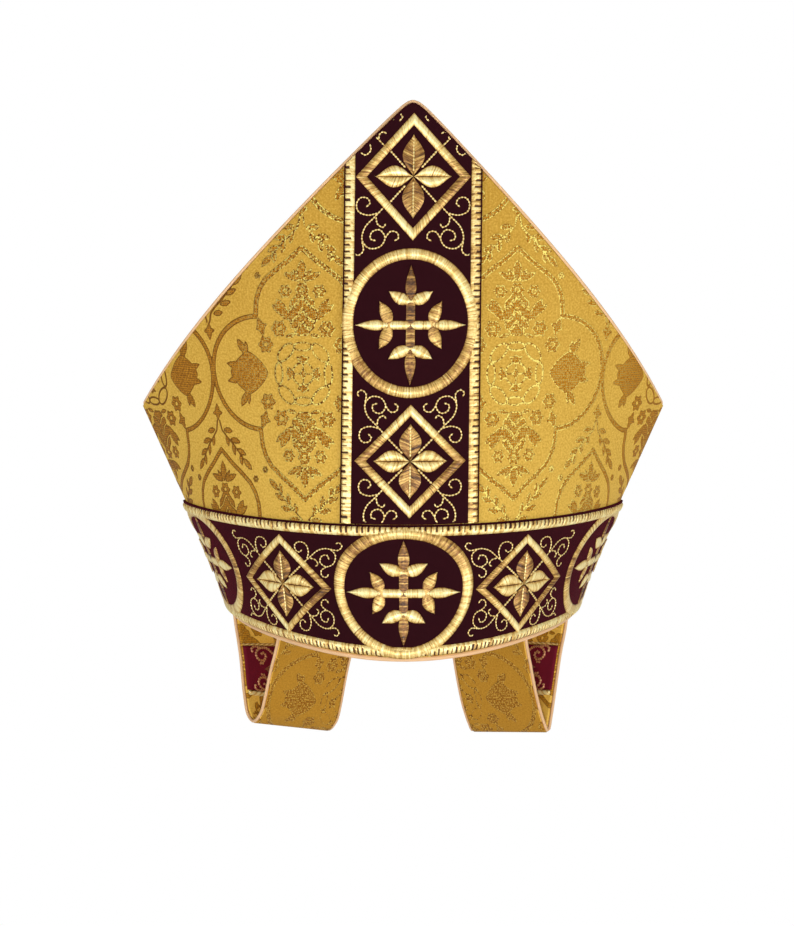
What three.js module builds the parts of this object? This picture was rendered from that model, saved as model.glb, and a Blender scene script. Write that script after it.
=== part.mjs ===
import * as THREE from 'three';

// A bishop's mitre: two stiff shield-shaped horns of gold brocade on an oval brim, an embroidered
// band and strips, a soft gusset between the horns and two lappets at the back.
// Millimetres, +Z up, front towards -Y. The origin is the centre of the oval that the brim stands on.

// The two horns
const HEAD_HALF_WIDTH = 90;
const HEAD_HALF_DEPTH = 104;
const SHOULDER_HALF_WIDTH = 139;
const SHOULDER_HEIGHT = 114;
const APEX_HEIGHT = 268.5;
const APEX_OFFSET = 4.9;
const APEX_ROUNDING = 2.2;
const EDGE_FALL = 140.7;
const EDGE_DROOP = 17.3;
const EDGE_DROOP_POWER = 4;
const PEAK_REFERENCE_HEIGHT = 268;
const PEAK_HALF_DEPTH = 65;
const FOLD_EASE_START = 90;
const FOLD_EASE = 48;
const WALL = 2.4;
const SEAM_PINCH = 0.3;
const GAP = 0.3;
const WALL_COLUMNS = 24;
const WALL_ROWS = 15;
const COLUMN_BIAS = 1.3;

// Embroidered grounds and their borders
const GROUND_THICKNESS = 1.0;
const GALLOON_THICKNESS = 1.0;
const BRIM_RISE = 6;
const BAND_BOTTOM = 0.4;
const BAND_TOP_FRONT = 63.3;
const BAND_TOP_SIDE = 61.5;
const BAND_GALLOON_WIDTH = 4.6;
const BAND_GALLOON_INSET = 0.9;
const SIDE_GALLOON_WIDTH = 4.2;
const STRIP_WIDTH = 67;
const STRIP_GALLOON_WIDTH = 4.8;
const STRIP_GALLOON_INSET = 0.6;
const STRIP_OFFSET = 2.0;
const STRIP_LEAN = 0.012;
const STRIP_EDGE_MARGIN = 0.6;

// Cords
const PIPING_RADIUS = 1.1;
const PIPING_SIDES = 6;
const PIPING_END_CLEARANCE = 1.7;

// Gusset between the horns
const GUSSET_THICKNESS = 1.2;
const GUSSET_HALF_SPAN = 133.5;
const GUSSET_CLEARANCE = 0.6;
const GUSSET_BELOW_EDGE = 2.2;
const GUSSET_VALLEY_CENTRE = 128;
const GUSSET_VALLEY_SIDE = 108;
const GUSSET_CURL = 1.4;

// Lappets
const LAPPET_WIDTH = 53;
const LAPPET_THICKNESS = 2.0;
const LAPPET_INSET = 5.4;
const LAPPET_BEARING = THREE.MathUtils.degToRad(35);
const LAPPET_ROOT_RADIUS = 86;
const LAPPET_FLAT_BELOW = 45;
const LAPPET_COLUMNS = 6;
const LAPPET_ROWS = 40;
const LAPPET_END_ALLOWANCE = 3;
const PATCH_LENGTH = 25.7;
const CORD_WIDTH = 3;

// Each lappet's middle line from its root to its free end, as pairs of distance out and height,
// how far its fold slants, and how far past the fold its field starts.
const LAPPET_SIDES = [
  {
    name: 'left',
    side: -1,
    tilt: 7,
    patchAt: 21.3,
    path: [
      [0, 12], [0, 0], [1.5, -16], [6, -38], [11.1, -52.4], [16.4, -67.8], [20.4, -77],
      [28.3, -83.8], [33.7, -80.8], [37, -70.7], [41, -46], [46, -26], [51, 2], [50, 32],
      [40, 62], [27, 88], [17, 108],
    ],
  },
  {
    name: 'right',
    side: 1,
    tilt: 4.5,
    patchAt: 24.7,
    path: [
      [0, 12], [0, 0], [1.5, -19], [5, -40.5], [12.9, -66], [20.4, -82.5], [24.8, -88.6],
      [28, -80], [31.4, -66], [36.8, -44], [42, -28], [45.7, 2], [43.8, 32], [39, 62],
      [27, 88], [17, 108],
    ],
  },
];

const BROCADE = { color: 0xc9a03c, roughness: 0.55, metalness: 0.15 };
const SATIN = { color: 0xcfa64a, roughness: 0.5, metalness: 0.1 };
const MAROON = { color: 0x3a0d1c, roughness: 0.8, metalness: 0 };
const GOLD_THREAD = { color: 0xe6cf86, roughness: 0.4, metalness: 0.3 };
const PEACH_CORD = { color: 0xe0b583, roughness: 0.6, metalness: 0 };

const clamp01 = (value) => THREE.MathUtils.clamp(value, 0, 1);

/** Half of the width between the side seams at a height. */
function halfChord(z) {
  const flare = (SHOULDER_HALF_WIDTH - HEAD_HALF_WIDTH) / SHOULDER_HEIGHT;
  return HEAD_HALF_WIDTH + flare * z;
}

/** Distance from the middle plane to the centre line of a horn at a height. */
function centreDepth(z) {
  const lean = (PEAK_HALF_DEPTH - HEAD_HALF_DEPTH) / PEAK_REFERENCE_HEIGHT;
  return HEAD_HALF_DEPTH + lean * z;
}

/** How sharply the plan closes at the side seams: 1 is an oval, 2 is a pointed lens. */
function foldSharpness(z) {
  const rise = Math.max(z, 0) / SHOULDER_HEIGHT;
  const past = z - FOLD_EASE_START;
  if (past <= 0) return 1 + rise;
  if (past >= FOLD_EASE) return 2;
  return 1 + rise - (past * past) / (2 * SHOULDER_HEIGHT * FOLD_EASE);
}

/** A point of the front wall at a bearing and height; an inset moves it to the inner face. */
function wallPoint(theta, z, inset = 0) {
  const pinch = 1 + SEAM_PINCH * clamp01(z / SHOULDER_HEIGHT);
  const chord = halfChord(z) - inset * pinch;
  const depth = centreDepth(z) - inset;
  const closing = Math.pow(Math.max(Math.cos(theta), 0), foldSharpness(z));
  return new THREE.Vector3(chord * Math.sin(theta), -depth * closing, z);
}

/** Outward direction of the front wall. */
function wallNormal(theta, z) {
  const limit = THREE.MathUtils.degToRad(88);
  if (Math.abs(theta) > limit) {
    const flare = halfChord(1) - halfChord(0);
    return new THREE.Vector3(Math.sign(theta), 0, -flare).normalize();
  }
  const turn = 0.006;
  const rise = 0.5;
  const across = wallPoint(theta + turn, z).sub(wallPoint(theta - turn, z));
  const up = wallPoint(theta, z + rise).sub(wallPoint(theta, z - rise));
  return across.cross(up).normalize();
}

/** A point lifted off the wall; the back wall mirrors the front one. */
function skinPoint(theta, z, lift, back = false) {
  const point = wallPoint(theta, z).addScaledVector(wallNormal(theta, z), lift);
  if (back) point.y = -point.y;
  return point;
}

/** Height of a horn's slanting edge at a distance across the front. */
function edgeHeight(x) {
  const away = x - APEX_OFFSET;
  const span = SHOULDER_HALF_WIDTH - Math.sign(away) * APEX_OFFSET;
  const t = Math.hypot(away, APEX_ROUNDING) / span;
  return APEX_HEIGHT - EDGE_FALL * t - EDGE_DROOP * Math.pow(t, EDGE_DROOP_POWER);
}

/** Finds the height at which a rising function crosses zero. */
function rootHeight(excess, low, high) {
  let a = low;
  let b = high;
  for (let step = 0; step < 50; step += 1) {
    const middle = (a + b) / 2;
    if (excess(middle) > 0) b = middle;
    else a = middle;
  }
  return (a + b) / 2;
}

/** Height of the slanting edge along a fixed bearing. */
function columnTop(theta) {
  return rootHeight((z) => z - edgeHeight(halfChord(z) * Math.sin(theta)), 60, 300);
}

/** Middle line of the upright strips across the front. */
function stripCentre(z) {
  return STRIP_OFFSET + STRIP_LEAN * z;
}

/** Height of the brim, which rises from the front and back centres to the sides. */
function brimHeight(theta) {
  return BRIM_RISE * (1 - Math.cos(theta) ** 4);
}

/** Upper edge of the circlet band. */
function bandTop(theta) {
  const side = Math.sin(theta) ** 2;
  return THREE.MathUtils.lerp(BAND_TOP_FRONT, BAND_TOP_SIDE, side);
}

// One column of the wall runs up to the apex, so the others turn a little towards it.
const APEX_BEARING = Math.asin(APEX_OFFSET / halfChord(APEX_HEIGHT));
const BEARINGS = Array.from({ length: WALL_COLUMNS + 1 }, (_, i) => {
  const u = (2 * i) / WALL_COLUMNS - 1;
  const away = Math.abs(u);
  const even = (Math.PI / 2) * Math.sign(u) * Math.pow(away, COLUMN_BIAS);
  return even + APEX_BEARING * (1 - away);
});

/** Makes a closed body from points and triangles, turned so that its faces point out. */
function closedBody(points, triangles) {
  let volume = 0;
  for (const [a, b, c] of triangles) {
    volume += points[a].dot(points[b].clone().cross(points[c]));
  }
  const order = volume > 0 ? triangles : triangles.map(([a, b, c]) => [a, c, b]);
  const geometry = new THREE.BufferGeometry();
  geometry.setFromPoints(points);
  geometry.setIndex(order.flat());
  geometry.computeVertexNormals();
  return geometry;
}

/** A sheet with two faces and a rim, from two grids of points. */
function sheetBody(columns, rows, outer, inner) {
  const points = [];
  for (const face of [outer, inner]) {
    for (let j = 0; j <= rows; j += 1) {
      for (let i = 0; i <= columns; i += 1) points.push(face(i, j));
    }
  }
  const layer = (columns + 1) * (rows + 1);
  const at = (i, j, k) => k * layer + j * (columns + 1) + i;
  const triangles = [];
  const quad = (a, b, c, d) => triangles.push([a, b, c], [a, c, d]);
  for (let j = 0; j < rows; j += 1) {
    for (let i = 0; i < columns; i += 1) {
      quad(at(i, j, 0), at(i + 1, j, 0), at(i + 1, j + 1, 0), at(i, j + 1, 0));
      quad(at(i, j, 1), at(i, j + 1, 1), at(i + 1, j + 1, 1), at(i + 1, j, 1));
    }
  }
  for (let i = 0; i < columns; i += 1) {
    quad(at(i, 0, 1), at(i + 1, 0, 1), at(i + 1, 0, 0), at(i, 0, 0));
    quad(at(i, rows, 0), at(i + 1, rows, 0), at(i + 1, rows, 1), at(i, rows, 1));
  }
  for (let j = 0; j < rows; j += 1) {
    quad(at(0, j, 0), at(0, j + 1, 0), at(0, j + 1, 1), at(0, j, 1));
    quad(at(columns, j, 1), at(columns, j + 1, 1), at(columns, j + 1, 0), at(columns, j, 0));
  }
  return closedBody(points, triangles);
}

/** A body swept through a list of sections with equal point counts, closed on itself or capped. */
function sweptBody(sections, closed) {
  const points = sections.flat();
  const size = sections[0].length;
  const triangles = [];
  const last = closed ? sections.length : sections.length - 1;
  for (let s = 0; s < last; s += 1) {
    const next = ((s + 1) % sections.length) * size;
    for (let i = 0; i < size; i += 1) {
      const j = (i + 1) % size;
      triangles.push([s * size + i, s * size + j, next + j]);
      triangles.push([s * size + i, next + j, next + i]);
    }
  }
  if (!closed) {
    const end = (sections.length - 1) * size;
    for (let i = 1; i < size - 1; i += 1) {
      triangles.push([0, i + 1, i]);
      triangles.push([end, end + i, end + i + 1]);
    }
  }
  return closedBody(points, triangles);
}

/** A round section of a cord about a centre, in the plane of two directions. */
function cordSection(centre, first, second) {
  return Array.from({ length: PIPING_SIDES }, (_, i) => {
    const angle = (2 * Math.PI * i) / PIPING_SIDES;
    return centre
      .clone()
      .addScaledVector(first, PIPING_RADIUS * Math.cos(angle))
      .addScaledVector(second, PIPING_RADIUS * Math.sin(angle));
  });
}

/** The mirror image of a front piece at the back. */
function mirrored(geometry) {
  const position = geometry.getAttribute('position');
  const points = [];
  for (let i = 0; i < position.count; i += 1) {
    points.push(new THREE.Vector3(position.getX(i), -position.getY(i), position.getZ(i)));
  }
  const index = Array.from(geometry.getIndex().array);
  const triangles = [];
  for (let i = 0; i < index.length; i += 3) triangles.push(index.slice(i, i + 3));
  return closedBody(points, triangles);
}

/** The stiff wall of the front horn, from the brim to its slanting edges. */
function hornWall() {
  const tops = BEARINGS.map(columnTop);
  const face = (inset) => (i, j) => {
    const z = THREE.MathUtils.lerp(brimHeight(BEARINGS[i]), tops[i], j / WALL_ROWS);
    const point = wallPoint(BEARINGS[i], z, inset);
    point.y = Math.min(point.y, -GAP / 2);
    return point;
  };
  return sheetBody(WALL_COLUMNS, WALL_ROWS, face(0), face(WALL));
}

/** Bearings all round the oval, the front ones first. */
function roundStations() {
  const front = BEARINGS.map((theta) => ({ theta, back: false }));
  const back = BEARINGS.slice(1, -1).reverse().map((theta) => ({ theta, back: true }));
  return [...front, ...back];
}

/** A ring of cloth on the wall between two heights, with a lower and an upper face. */
function ringOnWall(bottom, top, low, high, rows) {
  const sections = roundStations().map(({ theta, back }) => {
    const heights = Array.from({ length: rows + 1 }, (_, j) =>
      THREE.MathUtils.lerp(bottom(theta), top(theta), j / rows),
    );
    const outer = heights.map((z) => skinPoint(theta, z, high, back));
    const inner = heights.map((z) => skinPoint(theta, z, low, back)).reverse();
    return [...outer, ...inner];
  });
  return sweptBody(sections, true);
}

/** A length of cloth on the front horn beside its middle line, up to the slanting edges. */
function uprightOnWall(from, to, columns, low, high, margin) {
  const rows = 12;
  const bottom = BAND_TOP_FRONT + GAP + 0.1;
  const point = (i, j, lift) => {
    const offset = THREE.MathUtils.lerp(from, to, i / columns);
    const excess = (z) => z - edgeHeight(stripCentre(z) + offset) + margin;
    const top = rootHeight(excess, 60, 300);
    const z = THREE.MathUtils.lerp(bottom, top, j / rows);
    const theta = Math.asin((stripCentre(z) + offset) / halfChord(z));
    return skinPoint(theta, z, lift);
  };
  const outer = (i, j) => point(i, j, high);
  const inner = (i, j) => point(i, j, low);
  return sheetBody(columns, rows, outer, inner);
}

/** The cord along a horn's slanting edges, ending short of the side seams. */
function edgeCord() {
  const middle = (theta) => wallPoint(theta, columnTop(theta), WALL / 2);
  const limit = rootHeight(
    (theta) => middle(theta).y + PIPING_END_CLEARANCE,
    Math.PI / 4,
    Math.PI / 2,
  );
  const inside = BEARINGS.filter((theta) => Math.abs(theta) < limit - 0.01);
  const bearings = [-limit, ...inside, limit];
  const sections = bearings.map((theta) => {
    const along = middle(theta + 0.004).sub(middle(theta - 0.004)).normalize();
    const normal = wallNormal(theta, columnTop(theta));
    const outward = normal.clone().cross(along).normalize();
    if (outward.z < 0) outward.negate();
    const lift = along.clone().cross(outward).normalize();
    const centre = middle(theta).addScaledVector(outward, GAP + PIPING_RADIUS + 0.1);
    return cordSection(centre, outward, lift);
  });
  return sweptBody(sections, false);
}

/** The cord under the brim. */
function brimCord() {
  const drop = GAP + PIPING_RADIUS;
  const up = new THREE.Vector3(0, 0, 1);
  const sections = roundStations().map(({ theta, back }) => {
    const brim = brimHeight(theta);
    const centre = wallPoint(theta, brim, WALL / 2);
    const out = wallNormal(theta, brim).setZ(0).normalize();
    centre.z = brim - drop;
    if (back) {
      centre.y = -centre.y;
      out.y = -out.y;
    }
    return cordSection(centre, out, up);
  });
  return sweptBody(sections, true);
}

/** Soft cloth that dips between the slanting edges of the two horns. */
function crownGusset() {
  const columns = 18;
  const rows = 10;
  const base = (x, t) => {
    const top = edgeHeight(x) - GUSSET_BELOW_EDGE;
    const innerChord = halfChord(top) - WALL * (1 + SEAM_PINCH);
    const theta = Math.asin(x / innerChord);
    const reach = -wallPoint(theta, top, WALL).y - GUSSET_CLEARANCE;
    const side = Math.min(Math.abs(x) / SHOULDER_HALF_WIDTH, 1);
    const valley = THREE.MathUtils.lerp(GUSSET_VALLEY_CENTRE, GUSSET_VALLEY_SIDE, side);
    const rise = Math.pow(Math.abs(t), GUSSET_CURL);
    return new THREE.Vector3(x, reach * t, THREE.MathUtils.lerp(valley, top, rise));
  };
  const place = (i, j) => {
    const u = (2 * i) / columns - 1;
    const x = GUSSET_HALF_SPAN * Math.sign(u) * Math.pow(Math.abs(u), 0.9);
    return { x, t: (2 * j) / rows - 1 };
  };
  const lower = (i, j) => {
    const { x, t } = place(i, j);
    return base(x, t);
  };
  const upper = (i, j) => {
    const { x, t } = place(i, j);
    const across = base(x + 0.2, t).sub(base(x - 0.2, t));
    const deep = base(x, Math.min(t + 0.01, 1)).sub(base(x, Math.max(t - 0.01, -1)));
    const normal = across.cross(deep).normalize();
    return base(x, t).addScaledVector(normal, GUSSET_THICKNESS);
  };
  return sheetBody(columns, rows, upper, lower);
}

/** The bent middle surface of one lappet, by distance across it and along it. */
class LappetForm {
  constructor(side, tilt, path) {
    const bearing = LAPPET_BEARING;
    const halfWidth = HEAD_HALF_WIDTH - LAPPET_INSET;
    const halfDepth = HEAD_HALF_DEPTH - LAPPET_INSET;
    const sine = Math.sin(bearing);
    const cosine = Math.cos(bearing);
    this.root = new THREE.Vector3(side * halfWidth * sine, halfDepth * cosine, 0);
    this.out = new THREE.Vector3((side * sine) / halfWidth, cosine / halfDepth, 0).normalize();
    this.across = new THREE.Vector3(side * this.out.y, -Math.abs(this.out.x), 0);
    this.tilt = tilt;
    const points = path.map(([out, up]) => new THREE.Vector3(out, up, 0));
    this.path = new THREE.CatmullRomCurve3(points, false, 'centripetal');
    this.path.arcLengthDivisions = 600;
    this.reach = this.path.getLength();
    this.length = this.reach - LAPPET_END_ALLOWANCE;
  }

  /** Length along the path at which the fold is lowest. */
  get foldPlace() {
    let best = 0;
    let lowest = 1e9;
    for (let step = 0; step <= 300; step += 1) {
      const place = (this.length * step) / 300;
      const height = this.path.getPointAt(place / this.reach).y;
      if (height < lowest) {
        lowest = height;
        best = place;
      }
    }
    return best;
  }

  point(w, s) {
    const flat = this.path.getPointAt(clamp01(s / this.reach));
    const round = s < this.length * 0.4 ? 1 - clamp01(-flat.y / LAPPET_FLAT_BELOW) : 0;
    const cup = (round * w * w) / (2 * LAPPET_ROOT_RADIUS);
    const tilt = this.tilt * clamp01(-flat.y / 70) * ((2 * w) / LAPPET_WIDTH - 1);
    const place = this.root.clone();
    place.addScaledVector(this.across, w);
    place.addScaledVector(this.out, flat.x - cup);
    place.z = flat.y + tilt;
    return place;
  }

  /** Direction off the face that lies inside the fold. */
  normal(w, s) {
    const step = 0.4;
    const along = this.point(w, Math.min(s + step, this.reach));
    along.sub(this.point(w, Math.max(s - step, 0)));
    const wide = this.point(w + step, s).sub(this.point(w - step, s));
    const normal = along.cross(wide).normalize();
    if (this.handed === undefined) {
      this.handed = 1;
      this.handed = Math.sign(this.normal(0, 4).dot(this.out));
    }
    return normal.multiplyScalar(this.handed);
  }

  /** Cloth on the lappet over a part of its width and length, between two lifts off the middle. */
  cloth(width, from, to, columns, rows, low, high) {
    const spot = (lift) => (i, j) => {
      const w = width * (i / columns - 0.5);
      const s = THREE.MathUtils.lerp(from, to, j / rows);
      return this.point(w, s).addScaledVector(this.normal(w, s), lift);
    };
    return sheetBody(columns, rows, spot(high), spot(low));
  }

  /** The cord down both long edges and across the free end. */
  edgeCord() {
    const away = GAP + PIPING_RADIUS;
    const half = LAPPET_WIDTH / 2;
    const stops = [];
    for (let j = 0; j <= LAPPET_ROWS; j += 1) {
      const s = (this.length * j) / LAPPET_ROWS;
      stops.push({ w: -half - away, s, turn: 0 });
    }
    const end = this.length + away;
    const free = [];
    for (let i = -1; i <= 1; i += 1) free.push({ w: i * half * 0.9, s: end, turn: Math.PI / 2 });
    const corner = [{ w: -half - away * 0.75, s: this.length + away * 0.75, turn: Math.PI / 4 }];
    const otherCorner = corner.map(({ w, s, turn }) => ({ w: -w, s, turn: Math.PI - turn }));
    const returning = stops.map(({ w, s }) => ({ w: -w, s, turn: Math.PI })).reverse();
    const sections = [...stops, ...corner, ...free, ...otherCorner, ...returning].map((stop) => {
      const { w, s, turn } = stop;
      const lift = this.normal(w, s);
      const along = this.point(w, Math.min(s + 0.4, this.reach));
      along.sub(this.point(w, Math.max(s - 0.4, 0))).normalize();
      const wide = along.clone().cross(lift).normalize();
      if (wide.dot(this.across) < 0) wide.negate();
      const outward = wide.multiplyScalar(-Math.cos(turn)).addScaledVector(along, Math.sin(turn));
      return cordSection(this.point(w, s), outward.normalize(), lift);
    });
    return sweptBody(sections, false);
  }
}

const mitre = new THREE.Group();

/** Adds one named piece in its finish. */
function add(name, geometry, finish) {
  const mesh = new THREE.Mesh(geometry, new THREE.MeshStandardMaterial(finish));
  mesh.name = name;
  mitre.add(mesh);
}

const groundLow = GAP;
const groundHigh = groundLow + GROUND_THICKNESS;
const galloonLow = groundHigh + GAP;
const galloonHigh = galloonLow + GALLOON_THICKNESS;

const horn = hornWall();
add('front_panel', horn, BROCADE);
add('back_panel', mirrored(horn), BROCADE);
add('crown_gusset', crownGusset(), SATIN);

const bandFoot = (theta) => BAND_BOTTOM + brimHeight(theta);
add('circlet_band', ringOnWall(bandFoot, bandTop, groundLow, groundHigh, 2), MAROON);
const upperFrom = (theta) => bandTop(theta) - BAND_GALLOON_INSET - BAND_GALLOON_WIDTH;
const upperTo = (theta) => bandTop(theta) - BAND_GALLOON_INSET;
const lowerTo = (theta) => {
  const width = THREE.MathUtils.lerp(BAND_GALLOON_WIDTH, SIDE_GALLOON_WIDTH, Math.sin(theta) ** 2);
  return bandFoot(theta) + width;
};
const upperGalloon = ringOnWall(upperFrom, upperTo, galloonLow, galloonHigh, 1);
const lowerGalloon = ringOnWall(bandFoot, lowerTo, galloonLow, galloonHigh, 1);
add('circlet_upper_galloon', upperGalloon, GOLD_THREAD);
add('circlet_lower_galloon', lowerGalloon, GOLD_THREAD);

const half = STRIP_WIDTH / 2;
const galloonOuter = half - STRIP_GALLOON_INSET;
const galloonInner = galloonOuter - STRIP_GALLOON_WIDTH;
const margin = STRIP_EDGE_MARGIN;
const strip = uprightOnWall(-half, half, 8, groundLow, groundHigh, margin);
const stripBorders = [
  { name: 'left', from: -galloonOuter, to: -galloonInner },
  { name: 'right', from: galloonInner, to: galloonOuter },
];
add('front_strip', strip, MAROON);
add('back_strip', mirrored(strip), MAROON);
for (const { name, from, to } of stripBorders) {
  const border = uprightOnWall(from, to, 1, galloonLow, galloonHigh, margin + GAP);
  add(`front_strip_${name}_galloon`, border, GOLD_THREAD);
  add(`back_strip_${name}_galloon`, mirrored(border), GOLD_THREAD);
}

const slantCord = edgeCord();
add('brim_piping', brimCord(), PEACH_CORD);
add('front_edge_piping', slantCord, PEACH_CORD);
add('back_edge_piping', mirrored(slantCord), PEACH_CORD);

for (const { name, side, tilt, patchAt, path } of LAPPET_SIDES) {
  const form = new LappetForm(side, tilt, path);
  const faceLift = LAPPET_THICKNESS / 2;
  const low = faceLift + GAP;
  const high = low + GROUND_THICKNESS;
  const patchFrom = form.foldPlace + patchAt;
  const patchTo = patchFrom + PATCH_LENGTH;
  const lowerCord = patchFrom - GAP - CORD_WIDTH;
  const upperCord = patchTo + GAP;
  const width = LAPPET_WIDTH - 1;
  const columns = LAPPET_COLUMNS;
  const body = form.cloth(
    LAPPET_WIDTH, 0, form.length, columns, LAPPET_ROWS, -faceLift, faceLift,
  );
  add(`${name}_lappet`, body, BROCADE);
  add(`${name}_lappet_piping`, form.edgeCord(), PEACH_CORD);
  const patch = form.cloth(width, patchFrom, patchTo, columns, 4, low, high);
  add(`${name}_lappet_patch`, patch, MAROON);
  const cordAt = (from) => form.cloth(width, from, from + CORD_WIDTH, columns, 1, low, high);
  add(`${name}_lappet_lower_cord`, cordAt(lowerCord), GOLD_THREAD);
  add(`${name}_lappet_upper_cord`, cordAt(upperCord), GOLD_THREAD);
}

export default mitre;
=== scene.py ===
"""A bishop's mitre in gold brocade with maroon, gold-embroidered band, strips and lappets."""

import logging
import math
from contextlib import contextmanager
from dataclasses import dataclass, field
from enum import Enum
from functools import partial
from typing import Callable, Iterator, Optional, Sequence

import bpy
import numpy as np
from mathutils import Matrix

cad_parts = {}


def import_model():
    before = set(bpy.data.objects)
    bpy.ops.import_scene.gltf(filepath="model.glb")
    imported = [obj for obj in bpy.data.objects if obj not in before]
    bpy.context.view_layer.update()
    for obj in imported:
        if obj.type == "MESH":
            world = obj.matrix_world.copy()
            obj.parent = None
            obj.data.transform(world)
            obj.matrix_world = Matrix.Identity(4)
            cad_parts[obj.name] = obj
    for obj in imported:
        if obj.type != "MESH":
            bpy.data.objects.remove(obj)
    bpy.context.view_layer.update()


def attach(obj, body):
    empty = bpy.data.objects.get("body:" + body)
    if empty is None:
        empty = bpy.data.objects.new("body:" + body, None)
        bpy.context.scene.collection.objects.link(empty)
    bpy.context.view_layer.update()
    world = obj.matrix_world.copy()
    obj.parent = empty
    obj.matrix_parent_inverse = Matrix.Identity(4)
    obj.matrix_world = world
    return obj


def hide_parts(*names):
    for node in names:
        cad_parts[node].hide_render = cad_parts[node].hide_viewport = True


LOG = logging.getLogger("mitre")
MM = 0.001
FULL_TURN = 2 * math.pi
QUARTER_TURN = math.pi / 2
CORNERS = tuple((x, y) for x in (-1, 1) for y in (-1, 1))
WHITE = (1.0, 1.0, 1.0, 1.0)

Item = bpy.types.Object
Points = np.ndarray
Rail = Callable[[Points], Points]

# Each lappet's middle line from its root to its free end: distance out, and height.
LEFT_PATH = (
    (0, 12), (0, 0), (1.5, -16), (6, -38), (11.1, -52.4), (16.4, -67.8), (20.4, -77),
    (28.3, -83.8), (33.7, -80.8), (37, -70.7), (41, -46), (46, -26), (51, 2), (50, 32),
    (40, 62), (27, 88), (17, 108),
)
RIGHT_PATH = (
    (0, 12), (0, 0), (1.5, -19), (5, -40.5), (12.9, -66), (20.4, -82.5), (24.8, -88.6),
    (28, -80), (31.4, -66), (36.8, -44), (42, -28), (45.7, 2), (43.8, 32), (39, 62),
    (27, 88), (17, 108),
)

# Curling stems in one corner outside a lozenge, across and up from its middle.
OPEN_SCROLL = (
    ((13.2, 14.0), (15.5, 16.4), (18.2, 19.3)),
    (
        (17.0, 17.8), (22, 18.7), (26.4, 16.9), (27.3, 13), (25.3, 10.2), (22, 10.6),
        (20.9, 13), (22.6, 14.7),
    ),
    (
        (18.2, 19.3), (23.3, 25), (24.4, 31), (21, 34.8), (15.7, 34), (13.4, 29.6),
        (16, 25.9), (19.8, 27), (20.4, 30.2), (17.8, 31.2),
    ),
    ((13.5, 30), (10.6, 26.6), (7.5, 27.3), (7.0, 30), (8.9, 31.2)),
    ((24.4, 31.5), (23.9, 36.2), (26.4, 38.3), (28.6, 36.6), (27.8, 34.8)),
    ((17.9, 19.6), (17.0, 23.2), (14.2, 24.6), (13.2, 22.9)),
)
CLOSE_SCROLL = (
    ((13.0, 14.0), (15.5, 16.4), (18.2, 19.2)),
    ((17.0, 18.2), (16.6, 20.6), (14.8, 21.8), (13.2, 20.8)),
    ((21.2, 15.8), (20.8, 12.8), (23.2, 10.5), (25.6, 11.6)),
    ((10.4, 27.2), (9.4, 30.0), (7.0, 30.6), (5.6, 28.8), (7.2, 27.0)),
)
FIELD_SCROLL = (
    (
        (5.6, 8.6), (9.5, 11.6), (15, 11.6), (18.0, 8.6), (16.6, 5.4), (12.8, 5.0),
        (11.0, 7.4), (12.8, 9.2), (14.6, 8.0),
    ),
    ((12.6, 5.2), (13.8, 3.2), (16.0, 3.4)),
    ((14.2, 11.8), (18.0, 12.8), (20.8, 11.2), (20.2, 9.2)),
)

# One frame of the damask, across and up from its middle. Lines: points, half width.
DAMASK_LINES = (
    (((0, 0), (7.6, 0)), 0.45),
    (((0, 0), (0, 7.6)), 0.45),
    (((0.8, 77), (2.0, 72), (5.4, 68.6), (9.6, 65.0)), 0.5),
    (((9.6, 65.0), (14.4, 59.6), (18.4, 54.4)), 0.45),
)
# Loops: middle, half width, half height, turn.
DAMASK_LOOPS = (
    ((13.2, 0), 2.1, 5.2, 0.0),
    ((0, 13.5), 4.6, 2.0, 0.0),
    ((9.2, 10.5), 2.9, 5.6, QUARTER_TURN / 2),
    ((0, 0), 5.6, 5.6, 0.0),
)
# Leaves: base, tip, half width.
DAMASK_LEAVES = (
    ((4.6, 0), (9.6, 0), 2.1),
    ((6.0, 0), (8.6, 3.6), 1.2),
    ((0, 4.6), (0, 9.6), 2.1),
    ((0, 6.0), (3.6, 8.6), 1.2),
    ((0, -2.4), (0, 2.4), 1.8),
    ((7.4, 26.0), (13.6, 37.2), 2.9),
    ((9.2, 28.5), (16.4, 34.4), 1.7),
    ((3.5, 19.5), (9.5, 18.0), 1.3),
    ((0, 45.6), (0, 56.4), 2.7),
    ((0.6, 45.6), (10.0, 50.0), 1.9),
    ((1.0, 46.0), (5.2, 52.0), 1.2),
    ((31.6, 2.2), (44.6, 4.6), 2.3),
    ((31.6, 8.8), (36.6, 17.2), 2.2),
    ((31.2, 9.6), (31.8, 16.2), 1.4),
    ((24.2, 28.0), (21.0, 18.5), 2.2),
    ((18.6, 24.6), (25.6, 21.6), 1.7),
    ((0, 77), (0, 86), 2.0),
    ((-3.8, 81), (3.8, 81), 1.7),
    ((3.0, 72.6), (9.6, 71.8), 1.8),
    ((4.6, 69.8), (6.0, 63.8), 1.5),
    ((7.4, 68.0), (14.6, 66.4), 1.8),
    ((8.8, 65.8), (10.2, 59.2), 1.5),
    ((11.6, 63.2), (18.0, 60.0), 1.7),
    ((13.6, 60.4), (14.6, 54.4), 1.4),
    ((15.4, 58.6), (21.4, 52.6), 1.9),
)
# Rosettes: middle, radius.
DAMASK_ROSETTES = (
    ((12.5, 22.2), 3.9),
    ((20.0, 14.2), 3.9),
    ((8.8, 40.6), 3.2),
    ((0, 41.4), 3.4),
    ((23.5, 48.5), 1.7),
)
# The gaps between the scales of a thistle head.
DAMASK_SCALES = (
    ((0, 38.4), (3.6, 33.6), (7.0, 31.6)),
    ((0, 32.2), (3.0, 27.4), (7.0, 25.0)),
    ((0, 25.8), (2.6, 22.6), (5.4, 21.4)),
)


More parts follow.
